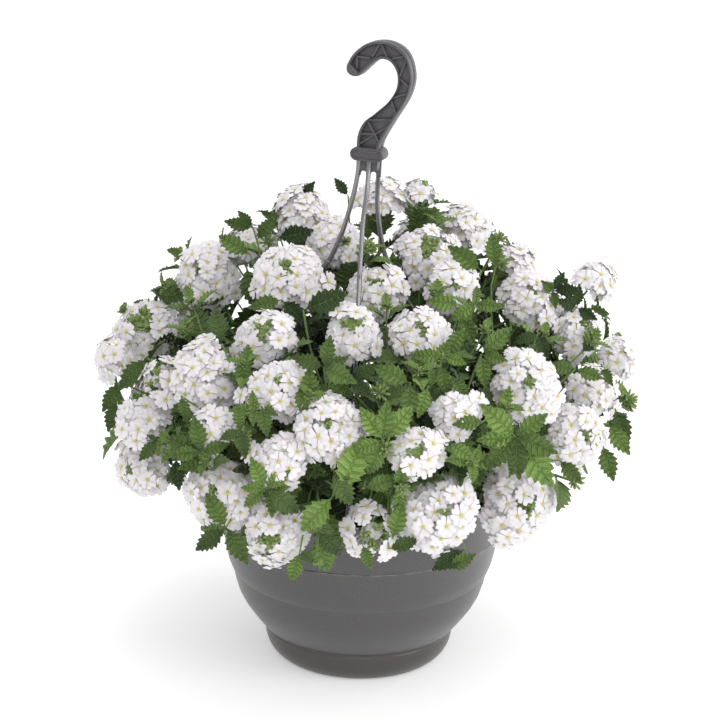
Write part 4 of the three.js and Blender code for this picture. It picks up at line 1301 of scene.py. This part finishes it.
# Walls from the underside up and in again, as radius and height in millimetres. The saucer's
# heights are over its foot.
SAUCER_WALL = ((75, 1.5), (76.5, 0), (81, 0), (84.5, 1.5), (88.6, 5), (91.4, 8.5), (93.4, 12),
               (95.4, 18), (96.3, 24), (96.3, 28.6), (95.7, 29.2), (96, SAUCER_LIP / MM),
               (94, SAUCER_LIP / MM), (85, 6), (83, SAUCER_FLOOR / MM))
BOWL_WALL = ((93, BOWL_UNDERSIDE / MM), (97, BOWL_UNDERSIDE / MM), (100.2, 34), (102.3, 36.5),
             (105, 40), (108, 44), (112.8, 50.4), (118.6, 59), (123.8, 69.2), (127.2, 80),
             (129.6, 91.2), (129.7, 92.5), (131.2, 94.3), (134.9, 104), (137.4, 115),
             (139.3, 126), (140.8, 134.8), (141.6, 136.7), (141.7, 137), (141.1, 138),
             (142, 160), (BOWL_RADIUS / MM, 182), (146, 182), (146, 186), (139.6, 186),
             (139.2, 160), (138.8, 137), (134.4, 114), (129, 94), (121.6, 70.5), (110.6, 51.5),
             (100, 37.8), (92, BOWL_FLOOR / MM), (80, BOWL_FLOOR / MM))
SOIL_WALL = ((70, BOWL_FLOOR / MM + 0.4), (91, BOWL_FLOOR / MM + 0.4), (99, 38.4), (109.8, 52),
             (120.8, 71), (128.2, 94.4), (138, 137.3), (138.4, SOIL_EDGE / MM))
SAUCER_EDGE, BOWL_EDGE, SMALL_EDGE = 0.5 * MM, 0.45 * MM, 0.3 * MM      # how edges are rounded
DRAIN_PLACES = [Matrix.Translation(bearing_point(DRAIN_RING, i * 360 / DRAIN_HOLES, 0))
                for i in range(DRAIN_HOLES)]
ROUND_SIDES = 20                    # of pegs and drain holes
LUG_WIDTH = 16 * MM
LUG_SUNK = 2 * MM                   # how far a lug reaches into the bowl's wall
SLOT_SIZE = (7.6 * MM, 3.6 * MM)    # along the rim and across it
CRUMBS = (1.3 * MM, 0.8 * MM)       # how uneven the compost's top is, up and sideways


class PieceOperator:
    """What the operators below share: each can be undone."""
    bl_options = {"REGISTER", "UNDO"}


class VERBENA_OT_saucer(PieceOperator, bpy.types.Operator):
    """Model the clip-on drip saucer"""
    bl_idname = "verbena.saucer"
    bl_label = "Drip saucer"

    def execute(self, context):
        settings = context.scene.verbena.bowl
        foot = saucer_box[0].z
        cup = turned("drip_saucer_cup", [(r * MM, foot + z * MM) for r, z in SAUCER_WALL],
                     settings.sides)
        finish_edges(cup, SAUCER_EDGE, segments=3)
        pegs = []
        for place in DRAIN_PLACES[::2]:
            peg = turned("peg", ((PEG_RADIUS, SAUCER_FLOOR - 0.5 * MM),
                                 (PEG_RADIUS, BOWL_FLOOR - MM),
                                 (PEG_RADIUS - 0.8 * MM, BOWL_FLOOR)), ROUND_SIDES)
            pegs.append(finish_edges(settle(peg, place), SMALL_EDGE))
        saucer = coat(join([cup, *pegs], "saucer_moulding"),
                      moulded_plastic("moulded polypropylene, saucer", settings.saucer_colour,
                                      settings.grain))
        finished(saucer, "root", "saucer_plastic", "drip_saucer")
        return {"FINISHED"}


class VERBENA_OT_bowl(PieceOperator, bpy.types.Operator):
    """Model the hanging bowl with its rim, lugs and drain holes"""
    bl_idname = "verbena.bowl"
    bl_label = "Bowl"

    def execute(self, context):
        settings = context.scene.verbena.bowl
        bowl = turned("bowl_shell", [(r * MM, z * MM) for r, z in BOWL_WALL], settings.sides)
        for bearing in ARM_BEARINGS:
            self.add_lug(bowl, radians(bearing))
        drains = [settle(turned("drain", ((DRAIN_RADIUS, BOWL_UNDERSIDE - MM),
                                          (DRAIN_RADIUS, BOWL_FLOOR + MM)), ROUND_SIDES), place)
                  for place in DRAIN_PLACES]
        self.combine(bowl, join(drains, "drains"), "DIFFERENCE")
        finish_edges(bowl, BOWL_EDGE, segments=3, angle=24)
        # The bowl's plastic carries a painted highlight along its ring.
        coat(bowl, moulded_plastic("moulded polypropylene, bowl", settings.bowl_colour,
                                   settings.grain, highlight_height=RING_HIGHLIGHT_HEIGHT))
        finished(bowl, "root", "bowl_plastic", "bowl")
        return {"FINISHED"}

    def combine(self, piece, tool, operation):
        """Adds a tool's body to a piece, or cuts it out."""
        pick(piece)
        cut = piece.modifiers.new("Cut", "BOOLEAN")
        cut.operation = operation
        cut.solver = "EXACT"
        cut.object = tool
        bpy.ops.object.modifier_apply(modifier=cut.name)
        discard(tool)

    def add_lug(self, bowl, turn):
        """A tongue under the lip with a slot through it for the hanger's clip."""
        height = RIM_HEIGHT - LIP_UNDERSIDE
        depth = LUG_REACH - BOWL_RADIUS + LUG_SUNK
        middle = LUG_REACH - depth / 2
        for size, radius, operation in (
                ((LUG_WIDTH, depth, height - 0.02 * MM), middle, "UNION"),
                ((*SLOT_SIZE, height + 2 * MM), CLIP_RING, "DIFFERENCE")):
            clear_selection()
            bpy.ops.mesh.primitive_cube_add(size=1, location=(0, -radius,
                                                              LIP_UNDERSIDE + height / 2))
            block = bpy.context.object
            block.scale = size
            settle(block, Matrix.Rotation(turn, 4, "Z"))
            self.combine(bowl, block, operation)


class VERBENA_OT_soil(PieceOperator, bpy.types.Operator):
    """Model the compost that fills the bowl"""
    bl_idname = "verbena.soil"
    bl_label = "Compost"

    def execute(self, context):
        settings = context.scene.verbena.bowl
        profile = [(r * MM, z * MM) for r, z in SOIL_WALL]
        profile += [(r * MM, soil_top_at(r * MM)) for r in range(132, 3, -4)]
        soil = turned("compost_fill", profile, 90)
        for index, vertex in enumerate(soil.data.vertices):
            if vertex.co.z > SOIL_EDGE + 0.1 * MM:
                vertex.co.z += spread_draw(index, CRUMBS[0])
                vertex.co.x += spread_draw(index + 7, CRUMBS[1])
        pick(soil)
        bpy.ops.object.shade_smooth_by_angle(angle=radians(50))
        coat(soil, damp_compost("damp compost", settings.soil_colour))
        finished(soil, "root", "peat", "soil")
        return {"FINISHED"}


# The hook's two edges, from the collar up and round to the tip, as [right, up] in
# millimetres from the middle of the collar's top face, in the hook's own plane.
HOOK_OUTER = in_mm(
    (11.5, -5), (14, 7), (26, 28.5), (36.9, 46.3), (42.2, 59), (43.9, 72), (40.8, 86),
    (34, 96.5), (22, 102.7), (9, 103.6), (-4, 99.8), (-16, 89.6), (-22.3, 78.5))
HOOK_INNER = in_mm(
    (-10.5, -5), (-9.6, 12), (-3, 25.6), (10, 35.8), (21.5, 47.5), (28.3, 58.7), (29.9, 69),
    (27.5, 78.5), (21, 85.8), (12, 87), (4.2, 82.4), (-3.5, 75), (-9.6, 69.2))
HOOK_TIP = in_mm((-22.6, 75), (-21.8, 72), (-19.5, 69.8), (-16.5, 68.6), (-13, 68.4))
HOOK_STEPS = 40
FLANGE_STOP = 0.025                 # how far the gap in the flange stops short of either end
# Both ends of each rib, just inside the flanges.
RIB_ENDS = [in_mm(*ends) for ends in (
    ((-8.5, 2.8), (23, 24.4)), ((-0.4, 25.8), (12.6, 5.6)), ((-8.7, 13), (6, 14.4)),
    ((0.7, 27.3), (26.3, 29.7)), ((23.2, 47.8), (28.8, 34.9)), ((23.8, 50.4), (40.1, 56.4)),
    ((30.9, 69.8), (42.3, 61.8)), ((38, 89), (30.7, 70.6)), ((23.3, 87.9), (36, 91.8)),
    ((11.1, 103), (17.8, 89)), ((11.1, 103), (3, 88)), ((-13.6, 87.6), (1, 86.8)),
    ((-12.6, 88.5), (-12.3, 75.5)))]
RIB_THICKNESS = 1.8 * MM
# The course of each arm from the collar down, in millimetres from the axis and the ground.
ARM_ROUTES = (
    ((0, 0, 516), (-0.4, -3, 500), (-1.4, -10, 482), (-4.3, -16, 458), (-5.5, -24, 433),
     (-6.5, -33, 408), (-7.2, -46, 380)),
    ((9.8, -3.8, 516), (9.4, -2, 500), (8.8, 3, 482), (9.5, 7, 460), (14.8, 12.5, 426),
     (19.9, 16, 408), (30, 21, 385)),
    ((-9.8, 3.8, 516), (-10.4, 4.5, 500), (-14, 6.5, 478), (-21.7, 9.5, 447),
     (-28.7, 12.5, 426), (-36.3, 16.5, 408), (-47, 22, 385)))
ARM_KNEE = (16 * MM, 42 * MM)       # inwards from the ring of clips, and above the rim
ARM_END = 6 * MM                    # above the rim, where the arm runs into its clip
ARM_STEPS = 60

RECESS_EDGE = 2.2 * MM              # width left round the recesses in the collar
RECESS_DEPTH = 2 * MM
# The yoke, in millimetres from the middle of the collar's underside: its left edge with the
# foot of the left rod, and for its arches how far aside, how high and how wide they are.
YOKE_EDGE = ((-13, 2), (-12.5, -16), (-8.6, -16))
ARCH_ASIDE, ARCH_SPRING, ARCH_RADIUS = 5.2, -14.2, 3.2
YOKE_THICKNESS = 2.6 * MM
# The clips, in millimetres: half widths, and how high they start above the rim.
TONGUE, BARB, CLIP_TOP = 3.3, 4.8, 9
CLIP_THICKNESS = 3 * MM


def on_hook(along, inward):
    """A point at a share of the hook's length and at a share of its width."""
    return spline_point(HOOK_OUTER, along).lerp(spline_point(HOOK_INNER, along), inward)


def hook_outline(margin):
    """The hook's outline, drawn in from both edges by a margin."""
    outer, inner = [], []
    inset = FLANGE_STOP if margin else 0
    for i in range(HOOK_STEPS + 1):
        along = inset + i / HOOK_STEPS * (1 - 2 * inset)
        width = (on_hook(along, 0) - on_hook(along, 1)).length
        outer.append(on_hook(along, margin / width))
        inner.append(on_hook(along, 1 - margin / width))
    return outer + ([] if margin else HOOK_TIP) + inner[::-1]


def arm_route(index):
    """Points along an arm, from inside the collar to its clip."""
    bearing = ARM_BEARINGS[index]
    inwards, above = ARM_KNEE
    points = in_mm(*ARM_ROUTES[index])
    points.append(bearing_point(CLIP_RING - inwards, bearing, RIM_HEIGHT + above))
    points.append(bearing_point(CLIP_RING, bearing, RIM_HEIGHT + ARM_END))
    return [spline_point(points, i / ARM_STEPS) for i in range(ARM_STEPS + 1)]


class VERBENA_OT_hanger(PieceOperator, bpy.types.Operator):
    """Model the hook, collar, yoke, three arms and their clips"""
    bl_idname = "verbena.hanger"
    bl_label = "Hanger"

    def execute(self, context):
        settings = context.scene.verbena.hanger
        parts = [plate("web", [hook_outline(0)], HOOK_WEB),
                 plate("flange", [hook_outline(0), hook_outline(FLANGE)], HOOK_DEPTH)]
        parts += [self.rib(start, end) for start, end in RIB_ENDS]
        parts += [self.collar(), self.yoke()]
        for part in parts:
            finish_edges(part, settings.edge)
        stand = (Matrix.Translation((0, 0, COLLAR_TOP)) @ Matrix.Rotation(HOOK_TURN, 4, "Z")
                 @ Matrix.Rotation(pi / 2, 4, "X"))
        head = settle(join(parts, "hook_head"), stand)
        arms = tube("arms", [arm_route(i) for i in range(3)], settings.arm_radius, 4)
        clips = [finish_edges(self.clip(bearing), SMALL_EDGE) for bearing in ARM_BEARINGS]
        grained = moulded_plastic("moulded polypropylene, hanger", settings.colour,
                                  settings.grain, shine=0.3)
        polished = moulded_plastic("moulded polypropylene, polished arms", settings.colour,
                                   settings.grain, glossiest=0.14, dullest=0.2,
                                   refraction=1.9)
        for piece in (head, *clips):
            coat(piece, grained)
        coat(arms, polished)
        hanger = join([head, arms, *clips], "hanger_moulding")
        finished(hanger, "root", "hanger_plastic", "hanger")
        return {"FINISHED"}

    def rib(self, start, end):
        """A bar between the two edges of the hook."""
        clear_selection()
        middle = (start + end) / 2
        span = end - start
        bpy.ops.mesh.primitive_cube_add(size=1)
        bar = bpy.context.object
        bar.scale = (span.length, RIB_THICKNESS, HOOK_RIB)
        turn = (Matrix.Translation((middle.x, middle.y, 0))
                @ Matrix.Rotation(atan2(span.y, span.x), 4, "Z"))
        return settle(bar, turn)

    def collar(self):
        """A bar with round ends and a shallow round-ended recess in its front and back."""
        collar = plate("collar", [bar_outline(COLLAR_WIDTH, COLLAR_HEIGHT)], COLLAR_DEPTH)
        with editing(collar):
            for side in (1, -1):
                select_only(collar, "FACE", lambda face: face.normal.z * side > 0.9)
                bpy.ops.mesh.inset(thickness=RECESS_EDGE)
                draw_out(-side * RECESS_DEPTH)
        return settle(collar, Matrix.Translation((0, -COLLAR_HEIGHT / 2, 0)))

    def yoke(self):
        """A plate below the collar, cut by two round-topped arches between three rods."""
        outline = [*YOKE_EDGE]
        for middle in (-ARCH_ASIDE, ARCH_ASIDE):
            outline += arc((middle, ARCH_SPRING), ARCH_RADIUS, 1, 0, 8)
            outline.append((middle + ARCH_RADIUS + 0.1, YOKE_EDGE[-1][1]))
        outline += [(-x, y) for x, y in reversed(YOKE_EDGE[:2])]
        yoke = plate("yoke", [in_mm(*outline)], YOKE_THICKNESS)
        return settle(yoke, Matrix.Translation((0, -COLLAR_HEIGHT, 0)))

    def clip(self, bearing):
        """A flat tongue through the lug's slot, with a barb below it."""
        shoulder = (LIP_UNDERSIDE - GAP) / MM
        top = RIM_HEIGHT / MM + CLIP_TOP
        outline = [(-TONGUE, top), (-TONGUE, shoulder), (-BARB, shoulder),
                   (-TONGUE, hanger_box[0].z / MM)]
        outline += [(-x, y) for x, y in reversed(outline)]
        clip = plate("clip", [in_mm(*outline)], CLIP_THICKNESS)
        return settle(clip, Matrix.Rotation(radians(bearing), 4, "Z")
                      @ Matrix.Translation((0, -CLIP_RING, 0))
                      @ Matrix.Rotation(pi / 2, 4, "X"))


class VERBENA_OT_flower_heads(PieceOperator, bpy.types.Operator):
    """Model the white flower heads, floret by floret"""
    bl_idname = "verbena.flower_heads"
    bl_label = "Flower heads"

    def execute(self, context):
        plant = context.scene.verbena.plant
        petals = verbena_petal("verbena petal", plant.petal_colour, plant.eye_colour)
        eye = green_skin("floret throat", plant.eye_colour, 2 * MM)
        tubes = green_skin("floret tubes", plant.tube_colour, 3 * MM)
        green = green_skin("calyx and bud", plant.bud_colour, 3 * MM)
        florets = [floret_template(f"floret_{k}", k * 131, petals, eye, tubes)
                   for k in range(1, 5)]
        bud = bud_template("centre_bud", green)
        cores = [core_template("core_of_tubes", tubes), core_template("core_of_buds", green)]
        for index, top in enumerate(lay_out_heads()):
            head = flower_head(index + 1, top, florets, bud, cores, plant.floret_width)
            finished(head, "root", "petals", f"flower_head_{index + 1:02d}")
        discard(*florets, bud, *cores)
        return {"FINISHED"}


STEM_RADII = (1.15 * STEM_RADIUS, 0.85 * STEM_RADIUS)
SHOOT_RADII = (0.88 * STEM_RADIUS, 0.6 * STEM_RADIUS)
SHOOT_WIDTH = 16                    # how wide a side shoot's end counts when it is laid out
# The power pushes most leaves towards the near-black older colour, partly as painted shade.
AGE_POWER = 1.4                     # from a leaf's age to how pale it is, and how much two
AGE_SPREAD = 0.24                   # leaves of one age differ


class VERBENA_OT_leafy_plants(PieceOperator, bpy.types.Operator):
    """Model the three plants: trunks, stems, shoots, leaves and green buds"""
    bl_idname = "verbena.leafy_plants"
    bl_label = "Leafy plants"

    def execute(self, context):
        plant = context.scene.verbena.plant
        heads = lay_out_heads()
        buds = lay_out_buds(FRONT_BUDS)
        stems = lay_out_stems(heads, buds)
        side_tops = lay_out_buds(SIDE_SHOOTS, SHOOT_WIDTH) + back_shoot_tops()
        spray_tops = [Top(inside_box(top.middle, UP, SPRAY_INSIDE), top.radius, top.axis)
                      for top in lay_out_buds([spray[:2] for spray in FRONT_SPRAYS], SPRAY_SUNK)]
        shoots = lay_out_shoots(stems, side_tops)
        sprays = lay_out_shoots(stems, spray_tops)
        arm_points = [point for i in range(3) for point in arm_route(i)]
        foliage = Foliage(stems, heads + buds, arm_points, plant.leaf_length, plant.leaf_width)
        lay_out_leaves(stems, shoots, sprays, foliage)
        shoots += [spray for spray in sprays if spray not in foliage.bare]
        green = (bpy.data.materials.get("calyx and bud")
                 or green_skin("calyx and bud", plant.bud_colour, 3 * MM))
        stalk = green_skin("square green stem", plant.stem_colour, 4 * MM)
        wood = bark("woody base", plant.bark_colour)
        blade = verbena_leaf("verbena leaf", plant.young_leaf, plant.old_shaded_leaf)
        leaf = leaf_template(blade)
        bud = bud_template("green_bud", green)
        for index, bearing in enumerate(PLANT_BEARINGS):
            own = [one for one in foliage.leaves if one.plant == index]
            parts = copied(leaf, [one.place for one in own],
                           [min(max(one.age ** AGE_POWER
                                    + spread_draw(k * 3 + index, AGE_SPREAD), 0), 1)
                            for k, one in enumerate(own)])
            parts += [self.stalks("stems", index, stems, 9, STEM_RADII, stalk),
                      self.stalks("shoots", index, shoots, 6, SHOOT_RADII, stalk),
                      self.trunk(bearing, wood)]
            for k, top in enumerate(buds + side_tops):
                if plant_of(top.middle) == index:
                    parts += bud_cluster(top, k * 41, bud)
            body = join(parts, f"verbena_plant_{index + 1}")
            finished(body, "root", "leaf_and_stem", f"leafy_plant_{index + 1}")
        discard(leaf, bud)
        return {"FINISHED"}

    def stalks(self, name, plant, stems, steps, radii, material):
        """A plant's own stems, each tapering from one radius to another."""
        routes = [[stem_point(stem, i / steps) for i in range(steps + 1)]
                  for stem in stems if stem.plant == plant]
        thick, thin = radii
        stalks = tube(name, routes, thick, taper=lambda share: 1 + (thin / thick - 1) * share)
        return coat(stalks, material)

    def trunk(self, bearing, material):
        """A woody base that tapers from the soil to its fork, not quite round."""
        profile = []
        for share in np.linspace(0, 1, TRUNK_RINGS):
            height = TRUNK_FOOT + (TRUNK_FORK + TRUNK_HEIGHT - TRUNK_FOOT) * share
            profile.append((TRUNK_RADIUS * (1 - TRUNK_TAPER * share ** 2), height))
        trunk = turned("trunk", profile, TRUNK_SIDES)
        for index, vertex in enumerate(trunk.data.vertices):
            vertex.co.x *= 1 + spread_draw(index % TRUNK_SIDES, TRUNK_WAVE)
        settle(trunk, Matrix.Translation(bearing_point(TRUNK_RING, bearing, 0)))
        return smoothed(coat(trunk, material))


# The lights: name, place, width, and power as a share of the key light's.
STAGE_LIGHTS = (("key", (0.2, -2.5, 2.3), 2.2, 1), ("fill", (2.4, -1.1, 1.2), 1.8, 0.9),
                ("side", (2.3, 1.2, 0.9), 1.4, 0.4), ("top", (0.3, 0.5, 2.8), 1.8, 0.5))
LIT_POINT = Vector((0, 0, 0.3))

# The camera's picture, in pixels: its width, its focal length, and how far the middle of the
# view lies off the middle of the picture. It leans by some degrees about its axis.
PICTURE_WIDTH = 720
FOCAL_LENGTH = 2171
VIEW_SHIFT = (-4.5, 3)
CAMERA_LEAN = 1.3
SENSOR_WIDTH = 36

# The paper floor: its width, the height of the wall behind, and the radius of the bend.
FLOOR_WIDTH, WALL_HEIGHT, SWEEP_RADIUS = 14, 7, 2.5


class VERBENA_OT_stage(PieceOperator, bpy.types.Operator):
    """Set the camera, the paper sweep and the soft lights"""
    bl_idname = "verbena.stage"
    bl_label = "Stage"

    def execute(self, context):
        settings = context.scene.verbena.stage
        self.camera(context.scene)
        self.sweep(settings)
        for name, place, size, share in STAGE_LIGHTS:
            light = bpy.data.lights.new(name, "AREA")
            light.shape = "DISK"
            light.size = size
            light.energy = settings.key_power * share
            lamp = bpy.data.objects.new(name, light)
            lamp.location = place
            way = LIT_POINT - Vector(place)
            lamp.rotation_euler = way.to_track_quat("-Z", "Y").to_euler()
            context.collection.objects.link(lamp)
        world = context.scene.world or bpy.data.worlds.new("Room")
        context.scene.world = world
        world.use_nodes = True
        background = world.node_tree.nodes["Background"]
        background.inputs["Color"].default_value = linear("#ffffff")
        background.inputs["Strength"].default_value = settings.sky
        context.scene.view_settings.view_transform = "Standard"
        return {"FINISHED"}

    def camera(self, scene):
        camera = bpy.data.cameras.new("camera")
        camera.sensor_width = SENSOR_WIDTH
        camera.lens = SENSOR_WIDTH * FOCAL_LENGTH / PICTURE_WIDTH
        camera.shift_x, camera.shift_y = (shift / PICTURE_WIDTH for shift in VIEW_SHIFT)
        camera.clip_start, camera.clip_end = 0.05, 60
        eye = bpy.data.objects.new("camera", camera)
        eye.matrix_world = (Matrix.Translation(EYE)
                            @ AHEAD.to_track_quat("-Z", "Y").to_matrix().to_4x4()
                            @ Matrix.Rotation(radians(CAMERA_LEAN), 4, "Z"))
        scene.collection.objects.link(eye)
        scene.camera = eye

    def sweep(self, settings):
        """A paper floor that curves up into a wall behind the plant."""
        clear_selection()
        bpy.ops.mesh.primitive_plane_add(size=FLOOR_WIDTH)
        paper = settle(bpy.context.object)
        paper.name = "paper_floor"
        with editing(paper):
            select_only(paper, "EDGE", lambda edge: all(end.co.y > 0 for end in edge.verts))
            draw_out(WALL_HEIGHT)
        finish_edges(paper, SWEEP_RADIUS, segments=16, smooth=60)
        coat(paper, paper_sweep("studio paper", settings.floor_colour))


class VERBENA_PT_panel(bpy.types.Panel):
    """Lists the pieces and their settings"""
    bl_label = "Hanging verbena"
    bl_idname = "VERBENA_PT_panel"
    bl_space_type = "VIEW_3D"
    bl_region_type = "UI"
    bl_category = "Verbena"

    def draw(self, context):
        settings = context.scene.verbena
        for group in (settings.bowl, settings.hanger, settings.plant, settings.stage):
            box = self.layout.box()
            for name in group.__annotations__:
                box.prop(group, name)
        for operator in OPERATORS:
            self.layout.operator(operator.bl_idname)


SETTINGS = (VerbenaBowlSettings, VerbenaHangerSettings, VerbenaPlantSettings,
            VerbenaStageSettings, VerbenaSettings)
OPERATORS = (VERBENA_OT_stage, VERBENA_OT_saucer, VERBENA_OT_bowl, VERBENA_OT_soil,
             VERBENA_OT_hanger, VERBENA_OT_flower_heads, VERBENA_OT_leafy_plants)


def register():
    for one in (*SETTINGS, *OPERATORS, VERBENA_PT_panel):
        bpy.utils.register_class(one)
    bpy.types.Scene.verbena = PointerProperty(type=VerbenaSettings)


def unregister():
    del bpy.types.Scene.verbena
    for one in reversed((*SETTINGS, *OPERATORS, VERBENA_PT_panel)):
        bpy.utils.unregister_class(one)


def main():
    register()
    bpy.ops.verbena.stage()
    bpy.ops.verbena.saucer()
    bpy.ops.verbena.bowl()
    bpy.ops.verbena.soil()
    bpy.ops.verbena.hanger()
    bpy.ops.verbena.flower_heads()
    bpy.ops.verbena.leafy_plants()


if __name__ == "__main__":
    main()
